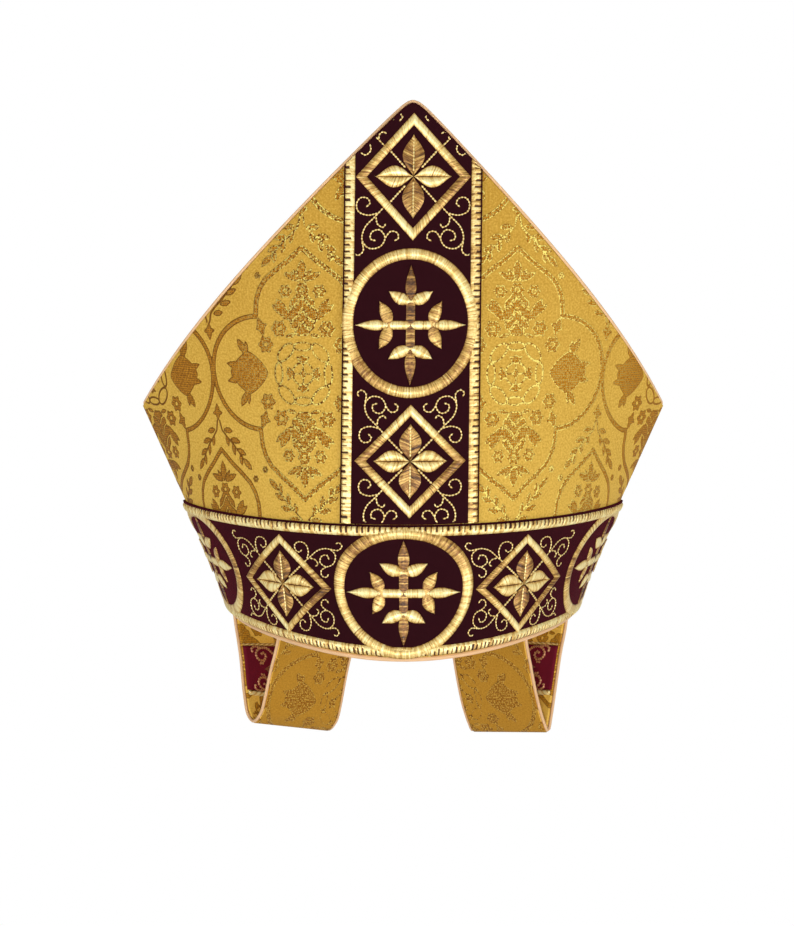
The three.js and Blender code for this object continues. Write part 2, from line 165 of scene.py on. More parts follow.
class Finish(Enum):
    """The finishes; those that the record has as slots bear the slot's name."""

    BROCADE = "brocade"
    BROCADE_BACK = "brocade back"
    BROCADE_FOLD = "brocade fold"
    SATIN = "lining_satin"
    MAROON = "maroon_ground"
    WINE = "wine field"
    GOLD = "gold_thread"
    TAN = "tan thread"
    PEACH = "peach_cord"


class Side(Enum):
    """Which horn a piece lies on."""

    FRONT = "front"
    BACK = "back"

    def mirror(self, points: Points) -> Points:
        """Points of the front horn moved to this one."""
        return points * np.array([1, -1, 1]) if self is Side.BACK else points


# Shader building


class Value:
    """A shader number or colour; numbers add Math nodes when they are used in an expression."""

    def __init__(self, shader: "Shader", socket: bpy.types.NodeSocket) -> None:
        """Wraps a socket of a shader."""
        self.shader = shader
        self.socket = socket

    def __add__(self, other: "Value | float") -> "Value":
        """Sum."""
        return self.shader.math("ADD", self, other)

    __radd__ = __add__

    def __mul__(self, other: "Value | float") -> "Value":
        """Product."""
        return self.shader.math("MULTIPLY", self, other)

    __rmul__ = __mul__

    def __sub__(self, other: "Value | float") -> "Value":
        """Difference."""
        return self.shader.math("SUBTRACT", self, other)

    def __rsub__(self, other: float) -> "Value":
        """Difference from a number."""
        return self.shader.math("SUBTRACT", other, self)

    def absolute(self) -> "Value":
        """Size without sign."""
        return self.shader.math("ABSOLUTE", self)

    def sine(self) -> "Value":
        """Sine of the value in radians."""
        return self.shader.math("SINE", self)

    def rows(self, pitch: float) -> "Value":
        """Rows of threads at a pitch: 0 between them and 1 on them."""
        return (self * (FULL_TURN / pitch)).sine() * 0.5 + 0.5

    def clamped(self) -> "Value":
        """The value held between 0 and 1."""
        result = self + 0.0
        result.socket.node.use_clamp = True
        return result

    def step(self, low: float, high: float) -> "Value":
        """Smooth rise from 0 at low to 1 at high."""
        sockets = {"Value": self, "From Min": low, "From Max": high}
        settings = {"interpolation_type": "SMOOTHSTEP"}
        return self.shader.out("ShaderNodeMapRange", "Result", settings, sockets)


class Shader:
    """The node tree of one material, or of the world."""

    def __init__(self, owner: "bpy.types.Material | bpy.types.World") -> None:
        """Starts the nodes of a new material or world."""
        owner.use_nodes = True
        self.owner = owner
        self.nodes = owner.node_tree.nodes
        self.links = owner.node_tree.links

    def add(self, kind: str, settings: dict, sockets: dict) -> bpy.types.Node:
        """Adds any node.

        Args:
            kind: The node's type.
            settings: Attributes of the node; stops are a ramp's (place, colour) pairs.
            sockets: Values or links of its inputs, by name or number.

        Returns:
            The node.
        """
        node = self.nodes.new(kind)
        for key, value in settings.items():
            if key == "stops":
                self._ramp(node.color_ramp.elements, value)
            else:
                setattr(node, key, value)
        for key, value in sockets.items():
            self.feed(node.inputs[key], value)
        return node

    def out(self, kind: str, output: "str | int", settings: dict, sockets: dict) -> Value:
        """One output of a new node."""
        return Value(self, self.add(kind, settings, sockets).outputs[output])

    @staticmethod
    def _ramp(elements: bpy.types.ColorRampElements, stops: Sequence[tuple]) -> None:
        """Sets the stops of a colour ramp."""
        while len(elements) < len(stops):
            elements.new(0.5)
        for element, (place, colour) in zip(elements, stops):
            element.position = place
            element.color = opaque(colour)

    def feed(self, socket: bpy.types.NodeSocket, value: object) -> None:
        """Links a value to a socket, or sets the socket's own number or colour."""
        if isinstance(value, Value):
            self.links.new(value.socket, socket)
        else:
            socket.default_value = value

    def math(self, operation: str, *operands: "Value | float") -> Value:
        """One Math node."""
        settings = {"operation": operation}
        return self.out("ShaderNodeMath", "Value", settings, dict(enumerate(operands)))

    def mix(self, factor: "Value | float", first: object, second: object) -> Value:
        """A colour from the first to the second one, as the factor goes from 0 to 1."""
        sockets = {0: factor, 6: opaque(first), 7: opaque(second)}
        return self.out("ShaderNodeMix", 2, {"data_type": "RGBA"}, sockets)

    def attribute(self, name: str) -> Value:
        """A number kept on the mesh."""
        settings = {"attribute_name": name, "attribute_type": "GEOMETRY"}
        return self.out("ShaderNodeAttribute", "Fac", settings, {})

    def place(self) -> Value:
        """Object coordinates, in metres."""
        return self.out("ShaderNodeTexCoord", "Object", {}, {})

    def flat(self) -> tuple[Value, Value, Value]:
        """The cloth's own flat place, in millimetres, and its distances across and up."""
        flat = self.out("ShaderNodeUVMap", "UV", {"uv_map": "flat_mm"}, {})
        apart = self.add("ShaderNodeSeparateXYZ", {}, {"Vector": flat})
        return flat, Value(self, apart.outputs["X"]), Value(self, apart.outputs["Y"])

    def noise(self, vector: Value, scale: float, detail: float) -> Value:
        """Soft noise from 0 to 1."""
        sockets = {"Vector": vector, "Scale": scale, "Detail": detail}
        return self.out("ShaderNodeTexNoise", "Fac", {}, sockets)

    def cells(self, vector: Value, scale: float) -> Value:
        """A random number for each of many small cells."""
        sockets = {"Vector": vector, "Scale": scale}
        colour = self.out("ShaderNodeTexVoronoi", "Color", {}, sockets)
        return self.out("ShaderNodeSeparateColor", "Red", {}, {"Color": colour})

    def bump(self, height: Value, strength: float, distance: float) -> Value:
        """A normal from a height."""
        sockets = {"Height": height, "Strength": strength, "Distance": distance}
        return self.out("ShaderNodeBump", "Normal", {}, sockets)

    def surface(self, sockets: dict) -> bpy.types.Material:
        """Sets the surface shader's inputs, by name, and gives the material."""
        for key, value in sockets.items():
            self.feed(self.nodes["Principled BSDF"].inputs[key], value)
        return self.owner

    def show_camera(self, lit: Value, seen: Value, output: str) -> None:
        """Lets one surface light the scene while the camera sees another."""
        ray = self.out("ShaderNodeLightPath", "Is Camera Ray", {}, {})
        both = self.out("ShaderNodeMixShader", "Shader", {}, {0: ray, 1: lit, 2: seen})
        self.feed(self.nodes[output].inputs["Surface"], both)


def new_material(name: str) -> Shader:
    """The nodes of a new material."""
    return Shader(bpy.data.materials.new(name))


def opaque(colour: object) -> object:
    """A colour with its alpha, or a link unchanged."""
    return colour if isinstance(colour, Value) else (*colour, 1.0)


def tint(red: int, green: int, blue: int) -> tuple[float, float, float]:
    """A colour as seen, 0 to 255, made linear for the shader."""
    shown = [channel / 255 for channel in (red, green, blue)]
    return tuple(c / 12.92 if c < 0.04045 else ((c + 0.055) / 1.055) ** 2.4 for c in shown)


@dataclass(frozen=True)
class BrocadeCloth:
    """Gold damask: a satin ground with a figure outlined in metal thread, its glints painted into the
    colour.
    """

    name: str = "gold brocade"
    ground: tuple = tint(215, 175, 77)
    ground_deep: tuple = tint(178, 134, 44)
    fill: tuple = tint(194, 132, 28)
    fill_deep: tuple = tint(148, 88, 6)
    # The fill as painted lighter on the right side, where the light falls.
    fill_lit: tuple = tint(188, 126, 18)
    outline: tuple = tint(98, 52, 0)
    # Colours of the painted glints on the metal thread.
    dark_bead: tuple = tint(96, 48, 0)
    bright_bead: tuple = tint(255, 240, 128)
    glint_share: float = 0.8
    hatch_glint: float = 0.42
    glint_at_mm: float = 22.0
    glint_mm: tuple = (84.0, 138.0)
    line_glint_mm: tuple = (62.0, 112.0)
    # Where the painted light of the right side rises, across from the middle.
    lit_side_mm: tuple = (-10.0, 70.0)
    # Where the ground is painted darker going up, as painted shade.
    shaded_above_mm: tuple = (60.0, 240.0)
    figure_edge_mm: tuple = (-0.16, 0.12)
    rim_mm: tuple = (0.34, 0.6)
    basket_pitch_mm: float = 2.3
    weft_pitch_mm: float = 0.45
    warp_pitch_mm: float = 0.99
    thread_scale: float = 0.95
    cloud_scale: float = 0.05
    cell_scale: float = 1.15

    def material(self) -> bpy.types.Material:
        """The finished material."""
        shader = new_material(self.name)
        flat, across, up = shader.flat()
        depth = shader.attribute("figure")
        inside = depth.step(*self.figure_edge_mm)
        rim = inside * (1 - depth.step(*self.rim_mm))
        turn = FULL_TURN / self.basket_pitch_mm
        basket = ((across + up) * turn).sine() * ((across - up) * turn).sine()
        bead = shader.noise(flat, self.thread_scale, 1.0)
        hatch = inside * (basket + (bead - 0.5) * 1.6).step(-0.1, 0.25)
        drawn = shader.math("MAXIMUM", rim, hatch * 0.8)
        # Painted glints: bright and dark beads are painted into the figure, fullest near glint_at_mm
        # right of the middle and fading towards the sides, where the light no longer catches the
        # thread.
        away = (across - self.glint_at_mm).absolute()
        near, line_glint_zone = 1 - away.step(*self.glint_mm), 1 - away.step(*self.line_glint_mm)
        # Painted light: towards the right side the fill, lines and dark beads are painted paler and
        # more beads bright, as the light falls from the right.
        lit_side = across.step(*self.lit_side_mm)
        weave = up.rows(self.weft_pitch_mm) * across.rows(self.warp_pitch_mm)
        cloudy = shader.noise(flat, self.cloud_scale, 3.0)
        grain = shader.noise(flat, self.thread_scale, 3.0)
        # The ground's random cloud and grain, with painted shade darker towards the top.
        shade = cloudy * 0.3 + (grain - 0.5) * 2.2 + up.step(*self.shaded_above_mm) * 0.55 + 0.1
        ground = shader.mix(shade, self.ground, self.ground_deep)
        fill = shader.mix(shader.cells(flat, self.cell_scale), self.fill_deep, self.fill)
        fill = shader.mix(lit_side * 0.5, fill, self.fill_lit)
        dark = shader.mix(lit_side * 0.35, self.dark_bead, fill)
        glint = shader.mix((bead + lit_side * 0.03).step(0.45, 0.55), dark, self.bright_bead)
        line = shader.mix(lit_side * 0.5, self.outline, fill)
        thread = shader.mix(line_glint_zone * self.glint_share, line, glint)
        hatching = shader.mix(near * self.hatch_glint, self.outline, glint)
        figure = shader.mix(rim, shader.mix(hatch * 0.85, fill, hatching), thread)
        relief = inside * 0.4 + drawn * (0.3 + bead * 0.8) + weave * 0.16 + grain * 0.12
        sockets = {
            "Base Color": shader.mix(inside * (near * 0.1 + 0.9), ground, figure),
            "Roughness": 0.62 - inside * 0.14 + grain * 0.1,
            "Metallic": inside * 0.12 + 0.02,
            "Normal": shader.bump(relief, 0.55, 0.0004),
            "Specular IOR Level": 0.14,
        }
        return shader.surface(sockets)


@dataclass(frozen=True)
class SatinLining:
    """Plain gold satin with fine straight threads."""

    name: str = "gold satin lining"
    light: tuple = tint(205, 165, 76)
    deep: tuple = tint(182, 138, 52)
    thread_pitch_mm: float = 0.5

    def material(self) -> bpy.types.Material:
        """The finished material."""
        shader = new_material(self.name)
        flat, _, up = shader.flat()
        soft = shader.noise(flat, 0.04, 4.0)
        grain = shader.noise(flat, 1.5, 2.0)
        relief = up.rows(self.thread_pitch_mm) * 0.4 + grain * 0.3
        sockets = {
            "Base Color": shader.mix(soft * 0.7 + grain * 0.3, self.light, self.deep),
            "Roughness": 0.42 + grain * 0.12,
            "Normal": shader.bump(relief, 0.35, 0.0003),
            "Sheen Weight": 0.15,
        }
        return shader.surface(sockets)


@dataclass(frozen=True)
class MaroonGround:
    """Matt maroon plain weave under the embroidery."""

    name: str = "maroon ground"
    deep: tuple = tint(28, 3, 8)
    light: tuple = tint(45, 8, 16)
    sheen: tuple = tint(255, 40, 90)
    sheen_weight: float = 0.14
    thread_pitch_mm: float = 0.55

    def material(self) -> bpy.types.Material:
        """The finished material."""
        shader = new_material(self.name)
        flat, across, up = shader.flat()
        turn = FULL_TURN / self.thread_pitch_mm
        weave = (across * turn).sine() * (up * turn).sine() * 0.5 + 0.5
        soft = shader.noise(flat, 0.12, 3.0)
        grain = shader.noise(flat, 2.2, 2.0)
        shade = weave * 0.35 + soft * 0.35 + grain * 0.3
        sockets = {
            "Base Color": shader.mix(shade, self.deep, self.light),
            "Roughness": 0.78 + grain * 0.12,
            "Normal": shader.bump(weave + grain * 0.5, 0.4, 0.0003),
            "Sheen Weight": self.sheen_weight,
            "Sheen Tint": opaque(self.sheen),
            "Specular IOR Level": 0.08,
        }
        return shader.surface(sockets)


@dataclass(frozen=True)
class GoldThread:
    """Satin-stitched gold thread, toned stitch by stitch by a kept brightness that holds random tone
    and painted sheen and shade.
    """

    name: str = "gold thread"
    shadow: tuple = tint(52, 26, 14)
    deep: tuple = tint(148, 100, 42)
    middle: tuple = tint(221, 181, 98)
    bright: tuple = tint(253, 239, 173)
    fibre_scale: float = 2600.0

    def material(self) -> bpy.types.Material:
        """The finished material."""
        shader = new_material(self.name)
        fibre = shader.noise(shader.place(), self.fibre_scale, 2.0)
        level = (shader.attribute("tone") + (fibre - 0.5) * 0.22).clamped()
        stops = ((0.0, self.shadow), (0.3, self.deep), (0.62, self.middle), (1.0, self.bright))
        sockets = {
            "Base Color": shader.out("ShaderNodeValToRGB", "Color", {"stops": stops}, {"Fac": level}),
            "Roughness": 0.44 - level * 0.14,
            "Metallic": 0.3,
            "Normal": shader.bump(fibre, 0.3, 0.0002),
        }
        return shader.surface(sockets)


@dataclass(frozen=True)
class PeachCord:
    """Satin-covered edge cord with slanting threads."""

    name: str = "peach cord"
    light: tuple = tint(238, 200, 152)
    deep: tuple = tint(206, 152, 100)
    pitch_mm: float = 1.1
    slope: float = 0.6

    def material(self) -> bpy.types.Material:
        """The finished material."""
        shader = new_material(self.name)
        flat, around, along = shader.flat()
        slant = (along + around * self.slope).rows(self.pitch_mm)
        grain = shader.noise(flat, 1.7, 3.0)
        sockets = {
            "Base Color": shader.mix(slant * 0.2 + grain * 0.2 + 0.25, self.light, self.deep),
            "Roughness": 0.5 + grain * 0.12,
            "Normal": shader.bump(slant * 0.8 + grain * 0.1, 0.3, 0.0002),
            "Sheen Weight": 0.1,
        }
        return shader.surface(sockets)


class Palette:
    """The materials of all finishes, made once."""

    def __init__(self) -> None:
        """Builds each finish."""
        makers = {
            Finish.BROCADE: BrocadeCloth(),
            # The brocade's reverse, darker as a reverse is, and also painted darker as shade on the
            # lappets' outer arms.
            Finish.BROCADE_BACK: BrocadeCloth(
                name="brocade reverse",
                ground=tint(186, 136, 42),
                ground_deep=tint(156, 106, 22),
                fill=tint(172, 118, 28),
                fill_deep=tint(146, 92, 12),
                fill_lit=tint(172, 118, 28),
                outline=tint(120, 70, 6),
                bright_bead=tint(232, 190, 84),
                glint_share=0.7,
                hatch_glint=0.7,
            ),
            # The brocade painted brighter, with few glints, for the inside of the lappets' fold,
            # which lies in shade.
            Finish.BROCADE_FOLD: BrocadeCloth(
                name="brocade inside the fold",
                ground=tint(250, 208, 98),
                ground_deep=tint(226, 178, 70),
                fill=tint(214, 158, 48),
                fill_deep=tint(190, 130, 26),
                fill_lit=tint(214, 158, 48),
                outline=tint(140, 84, 8),
                glint_share=0.1,
                hatch_glint=0.1,
            ),
            Finish.SATIN: SatinLining(),
            Finish.MAROON: MaroonGround(),
            Finish.WINE: MaroonGround("wine field", tint(92, 14, 32), tint(124, 30, 50)),
            Finish.GOLD: GoldThread(),
            Finish.TAN: GoldThread(
                name="tan thread",
                shadow=tint(60, 22, 14),
                deep=tint(128, 74, 52),
                middle=tint(190, 128, 88),
                bright=tint(214, 168, 116),
            ),
            Finish.PEACH: PeachCord(),
        }
        self.materials = {finish: maker.material() for finish, maker in makers.items()}


# Modelling by operators


class Bench:
    """Makes, shapes and joins meshes with Blender's own operators."""

    def __init__(self, palette: Palette) -> None:
        """Keeps the materials that finished pieces take."""
        self.materials = palette.materials
        self.pieces: list[Item] = []

    @staticmethod
    def select(*items: Item) -> None:
        """Selects only these objects and makes the first one active."""
        bpy.ops.object.select_all(action="DESELECT")
        for item in items:
            item.select_set(True)
        bpy.context.view_layer.objects.active = items[0]

    @contextmanager
    def editing(self, item: Item) -> Iterator[None]:
        """Opens a mesh for editing with all of it selected."""
        self.select(item)
        bpy.ops.object.mode_set(mode="EDIT")
        bpy.ops.mesh.select_all(action="SELECT")
        yield
        bpy.ops.object.mode_set(mode="OBJECT")

    def grid(self, name: str, columns: int, rows: int) -> tuple[Item, Points]:
        """Adds a flat grid as the start of a cloth, pad or cord.

        Args:
            name: The new object's name.
            columns: Faces across.
            rows: Faces up.

        Returns:
            The object, and each point's place across and up, from 0 to 1.
        """
        bpy.ops.object.select_all(action="DESELECT")
        bpy.ops.mesh.primitive_grid_add(x_subdivisions=columns, y_subdivisions=rows, size=1.0)
        item = self.rename(bpy.context.active_object, name)
        return item, self.points(item)[:, :2] + 0.5

    @staticmethod
    def rename(item: Item, name: str) -> Item:
        """Names an object and its mesh."""
        item.name = name
        item.data.name = name
        return item

    @staticmethod
    def points(item: Item) -> Points:
        """The mesh's points as an array."""
        flat = np.empty(len(item.data.vertices) * 3)
        item.data.vertices.foreach_get("co", flat)
        return flat.reshape(-1, 3)

    @staticmethod
    def shape(item: Item, points: Points) -> None:
        """Moves the mesh's points to new places."""
        item.data.vertices.foreach_set("co", np.ascontiguousarray(points).ravel())
        item.data.update()

    @staticmethod
    def note(item: Item, name: str, values: Points) -> None:
        """Keeps a number for each point of the mesh."""
        layer = item.data.attributes.new(name, "FLOAT", "POINT")
        layer.data.foreach_set("value", np.ascontiguousarray(values, dtype=np.float32))

    def spread(self, item: Item, points: Points, flat: Points, turned: bool = False) -> None:
        """Shapes a cloth or cord, and keeps its flat places as its UV map.

        Args:
            item: The cloth or cord.
            points: Its points, in millimetres.
            flat: Their flat places, in millimetres.
            turned: Whether its faces are turned over.
        """
        self.shape(item, points * MM)
        mesh = item.data
        while mesh.uv_layers:
            mesh.uv_layers.remove(mesh.uv_layers[0])
        layer = mesh.uv_layers.new(name="flat_mm")
        corners = np.empty(len(mesh.loops), dtype=np.int32)
        mesh.loops.foreach_get("vertex_index", corners)
        layer.data.foreach_set("uv", np.ascontiguousarray(flat[corners]).ravel())
        if turned:
            with self.editing(item):
                bpy.ops.mesh.flip_normals()

    def join(self, name: str, items: Sequence[Item]) -> Item:
        """Joins objects into one."""
        self.select(*items)
        if len(items) > 1:
            bpy.ops.object.join()
        return self.rename(items[0], name)

    def weld(self, item: Item) -> None:
        """Merges doubled points and turns all faces outwards."""
        with self.editing(item):
            bpy.ops.mesh.remove_doubles(threshold=1e-6)
            bpy.ops.mesh.normals_make_consistent(inside=False)

    def cut(self, item: Item, away: Points) -> None:
        """Deletes some of a mesh's points."""
        with self.editing(item):
            bpy.ops.mesh.select_mode(type="VERT")
            bpy.ops.mesh.select_all(action="DESELECT")
        item.data.vertices.foreach_set("select", away)
        bpy.ops.object.mode_set(mode="EDIT")
        bpy.ops.mesh.delete(type="VERT")
        bpy.ops.object.mode_set(mode="OBJECT")

    def thicken(
        self, item: Item, thickness: float, lined: bool = False, rim_only: bool = False
    ) -> None:
        """Gives a sheet its thickness behind its face.

        Args:
            item: The sheet.
            thickness: Its thickness, in millimetres.
            lined: Whether the added side takes the piece's second material.
            rim_only: Whether only the rim is added.
        """
        self.select(item)
        wall = item.modifiers.new("wall", "SOLIDIFY")
        wall.thickness = thickness * MM
        wall.offset = -1.0
        wall.use_even_offset = False
        wall.use_rim_only = rim_only
        if lined:
            wall.material_offset = 1
            for _ in range(2):
                item.data.materials.append(None)
        bpy.ops.object.modifier_apply(modifier=wall.name)

    def dress(
        self,
        item: Item,
        finish: Finish,
        node: str = "",
        lining: Optional[Finish] = None,
        slot: Optional[Finish] = None,
    ) -> None:
        """Gives a piece its materials, smooth shading and body.

        Args:
            item: The piece.
            finish: Its own finish.
            node: The solid that it stands for, if there is one.
            lining: The finish of its other side.
            slot: The record's slot, where its finish is a variant of that; not used.
        """
        wanted = [finish] if lining is None else [finish, lining]
        while len(item.data.materials) < len(wanted):
            item.data.materials.append(None)
        for place, kind in enumerate(wanted):
            item.data.materials[place] = self.materials[kind]
        self.select(item)
        bpy.ops.object.shade_smooth()
        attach(item, "root")
        if node:
            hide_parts(node)
        self.pieces.append(item)

    def cord(self, item: Item, points: Points, flat: Points, node: str) -> None:
        """Shapes and dresses a peach cord, which stands for a solid."""
        self.spread(item, points, flat)
        self.weld(item)
        self.dress(item, Finish.PEACH, node)


# The forms that cloth is bent over


def unit(vectors: Points) -> Points:
    """Vectors made one long."""
    return vectors / np.maximum(np.linalg.norm(vectors, axis=-1, keepdims=True), 1e-12)


def gaps(points: Points) -> Points:
    """Distances between the points of a line."""
    return np.linalg.norm(np.diff(points, axis=0), axis=1)


def lengths_along(points: Points) -> Points:
    """Distance of each point of a line from its start, along the line."""
    return np.concatenate([[0], np.cumsum(gaps(points))])


def smooth_line(points: Sequence[tuple], count: int) -> Points:
    """A smooth curve through points, evenly stepped.

    Args:
        points: The points that it passes through.
        count: How many steps it has.

    Returns:
        The curve's points.
    """
    held = np.array(points, dtype=float)
    padded = np.vstack([2 * held[0] - held[1], held, 2 * held[-1] - held[-2]])
    knots = np.sqrt(np.maximum(gaps(padded), 1e-9))
    t = np.linspace(0, 1, 60, endpoint=False)[:, None]
    pieces = []
    for i in range(1, len(padded) - 2):
        before, here, after, beyond = padded[i - 1 : i + 3]
        d0, d1, d2 = knots[i - 1 : i + 2]
        start = (here - before) / d0 - (after - before) / (d0 + d1) + (after - here) / d1
        end = (after - here) / d1 - (beyond - here) / (d1 + d2) + (beyond - after) / d2
        start, end = start * d1, end * d1
        cubic = 2 * here - 2 * after + start + end
        square = -3 * here + 3 * after - 2 * start - end
        pieces.append(here + start * t + square * t**2 + cubic * t**3)
    dense = np.vstack([*pieces, held[-1:]])
    steps = lengths_along(dense)
    even = np.linspace(0, steps[-1], count + 1)
    return np.stack([np.interp(even, steps, column) for column in dense.T], axis=1)


def straight(start: Points, end: Points) -> Rail:
    """A straight rail between two places."""
    return lambda t: start + np.outer(t, end - start)


def tube(
    place: Points, centre: Points, first: Points, second: Points, radius: "Points | float"
) -> tuple[Points, Points]:
    """Wraps a grid round a line as a cord with closed, rounded ends.

    Args:
        place: The grid's places around and along, from 0 to 1.
        centre: The cord's middle line.
        first: A direction off the line at each of its points.
        second: A direction square to that one.
        radius: The cord's radius, one for all of it or one for each of its points.

    Returns:
        The cord's points, and their flat places.
    """
    row = np.rint(place[:, 1] * (len(centre) - 1)).astype(int)
    turn = FULL_TURN * place[:, 0]
    steps = lengths_along(centre)
    ends = np.minimum(steps, steps[-1] - steps) / radius
    size = radius * np.sqrt(np.clip(1 - (1 - np.clip(ends, 0, 1)) ** 2, 1e-6, 1))
    offset = first[row] * np.cos(turn)[:, None] + second[row] * np.sin(turn)[:, None]
    flat = np.column_stack([turn * np.broadcast_to(radius, steps.shape)[row], steps[row]])
    return centre[row] + offset * size[row][:, None], flat


@dataclass
class WallForm:
    """The stiff wall of the two horns, in millimetres, the front one towards -Y."""

    head_half_width: float = 90.0
    head_half_depth: float = 104.0
    shoulder_half_width: float = 139.0
    shoulder_height: float = 114.0
    apex_height: float = 268.5
    apex_offset: float = 4.9
    apex_rounding: float = 3.0
    edge_fall: float = 140.7
    edge_droop: float = 17.3
    edge_between: tuple = (60.0, 300.0)
    peak_reference_height: float = 268.0
    peak_half_depth: float = 65.0
    fold_ease_start: float = 90.0
    fold_ease: float = 48.0
    wall: float = 2.4
    seam_pinch: float = 0.3
    seam_limit: float = math.radians(88)
    brim_rise: float = 6.0
    level_gap: float = 10.0
    level_count: int = 28

    def __post_init__(self) -> None:
        """Works out how far the walls lean for each millimetre up."""
        self.flare = (self.shoulder_half_width - self.head_half_width) / self.shoulder_height
        self.lean = (self.peak_half_depth - self.head_half_depth) / self.peak_reference_height

    def brim_height(self, theta: Points) -> Points:
        """Height of the brim, which rises from the front and back centres to the sides."""
        return self.brim_rise * (1 - np.cos(theta) ** 4)

    def half_chord(self, z: Points) -> Points:
        """Half of the width between the side seams at a height."""
        return self.head_half_width + self.flare * z

    def fold(self, z: Points) -> Points:
        """How sharply the plan closes at the side seams."""
        rise = np.maximum(z, 0) / self.shoulder_height
        past = np.clip(z - self.fold_ease_start, 0, self.fold_ease)
        eased = 1 + rise - past**2 / (2 * self.shoulder_height * self.fold_ease)
        return np.where(z >= self.fold_ease_start + self.fold_ease, 2.0, eased)

    def point(self, theta: Points, z: Points, inset: float = 0.0) -> Points:
        """A point of the front wall, or of its inner face."""
        pinch = 1 + self.seam_pinch * np.clip(z / self.shoulder_height, 0, 1)
        chord = self.half_chord(z) - inset * pinch
        depth = self.head_half_depth + self.lean * z - inset
        closing = np.maximum(np.cos(theta), 0) ** self.fold(z)
        return np.stack([chord * np.sin(theta), -depth * closing, z + 0 * theta], axis=-1)

    def normal(self, theta: Points, z: Points) -> Points:
        """Outward direction of the front wall."""
        turn, rise = 0.006, 0.5
        limit = self.seam_limit
        held = np.clip(theta, -limit, limit)
        across = self.point(held + turn, z) - self.point(held - turn, z)
        up = self.point(held, z + rise) - self.point(held, z - rise)
        tip = np.stack([np.sign(theta), 0 * theta, 0 * theta - self.flare], axis=-1)
        near = np.clip((np.abs(theta) - limit) / (QUARTER_TURN - limit), 0, 1)[..., None]
        return unit(unit(np.cross(across, up)) * (1 - near) + unit(tip) * near)

    def skin(self, theta: Points, z: Points, lift: Points) -> Points:
        """A point lifted off the front wall."""
        return self.point(theta, z) + self.normal(theta, z) * np.asarray(lift)[..., None]

    def edge_height(self, x: Points) -> Points:
        """Height of a horn's slanting edge at a distance across the front."""
        away = x - self.apex_offset
        span = self.shoulder_half_width - np.sign(away) * self.apex_offset
        t = np.hypot(away, self.apex_rounding) / span
        return self.apex_height - self.edge_fall * t - self.edge_droop * t**4

    def edge_along(self, across: Rail, like: Points) -> Points:
        """Height at which a rising line meets the slanting edge.

        Args:
            across: The line's distance across the front at a height.
            like: An array of the wanted shape.

        Returns:
            The heights.
        """
        low, high = (np.full(like.shape, height) for height in self.edge_between)
        for _ in range(44):
            middle = (low + high) / 2
            over = middle > self.edge_height(across(middle))
            high = np.where(over, middle, high)
            low = np.where(over, low, middle)
        return (low + high) / 2

    def column_top(self, theta: Points) -> Points:
        """Height of the slanting edge along a bearing."""
        return self.edge_along(lambda z: self.half_chord(z) * np.sin(theta), theta)

    def arc_table(self, z: float) -> tuple[Points, Points]:
        """Bearings and the lengths along the wall from its centre line, at a height."""
        bearings = np.linspace(0, QUARTER_TURN, 400)
        return bearings, lengths_along(self.point(bearings, np.full(bearings.shape, z)))

    def arc(self, theta: Points, z: Points) -> Points:
        """Length along the wall from the centre line, for points at many heights."""
        tables = [self.arc_table(level * self.level_gap) for level in range(self.level_count)]
        lengths = np.stack([np.interp(np.abs(theta), *table) for table in tables])
        place = np.clip(z / self.level_gap, 0, self.level_count - 1.001)
        low = place.astype(int)
        share = place - low
        index = np.arange(theta.size)
        lower, upper = lengths[low, index], lengths[low + 1, index]
        return np.sign(theta) * (lower * (1 - share) + upper * share)


class ClothForm:
    """A surface that flat work is laid on, by distance across it, up it and off it."""

    def lay(self, flat: Points) -> Points:
        """Places flat points, in millimetres, on the form."""
        raise NotImplementedError


@dataclass
class StripForm(ClothForm):
    """The upright strip of one horn: across from its middle line, and up from the brim."""

    wall: WallForm
    side: Side
    offset: float = 2.0
    lean: float = 0.012

    def __post_init__(self) -> None:
        """Works out the distance up the leaning wall for each millimetre of height."""
        self.slope = math.hypot(1, self.wall.lean)

    def centre(self, z: Points) -> Points:
        """The strip's middle line."""
        return self.offset + self.lean * z

    def lay(self, flat: Points) -> Points:
        """Places flat points on the strip."""
        z = flat[:, 1] / self.slope
        across = (self.centre(z) + flat[:, 0]) / self.wall.half_chord(z)
        return self.side.mirror(self.wall.skin(np.arcsin(np.clip(across, -1, 1)), z, flat[:, 2]))

    def top(self, across: Points) -> Points:
        """Distance up to the slanting edge."""
        return self.wall.edge_along(lambda z: self.centre(z) + across, across) * self.slope


@dataclass
class BandForm(ClothForm):
    """The circlet: round from the front centre, up from the brim."""

    wall: WallForm
    middle_height: float = 32.0
    bottom: float = 0.4
    top_front: float = 63.3
    top_side: float = 61.5

    def __post_init__(self) -> None:
        """Measures the band's quarter."""
        self.bearings, self.lengths = self.wall.arc_table(self.middle_height)
        self.quarter = float(self.lengths[-1])
        self.full = 4 * self.quarter

    def wrapped(self, round_by: Points) -> Points:
        """Distance from the front centre, the shorter way round."""
        return (round_by + self.full / 2) % self.full - self.full / 2

    def bearing(self, round_by: Points) -> Points:
        """Bearing from the nearer of the front and back centres."""
        away = np.abs(self.wrapped(round_by))
        reach = np.where(away > self.quarter, 2 * self.quarter - away, away)
        return np.interp(reach, self.lengths, self.bearings)

    def lay(self, flat: Points) -> Points:
        """Places flat points on the band."""
        round_by = self.wrapped(flat[:, 0])
        bearing = np.sign(round_by) * self.bearing(round_by)
        place = self.wall.skin(bearing, flat[:, 1], flat[:, 2])
        place[:, 1] *= np.where(np.abs(round_by) > self.quarter, -1, 1)
        return place

    def top(self, round_by: Points) -> Points:
        """Height of the band's upper edge."""
        share = np.sin(self.bearing(round_by)) ** 2
        return self.top_front + (self.top_side - self.top_front) * share

    def foot(self, round_by: Points) -> Points:
        """Height of the band's lower edge."""
        return self.bottom + self.wall.brim_height(self.bearing(round_by))


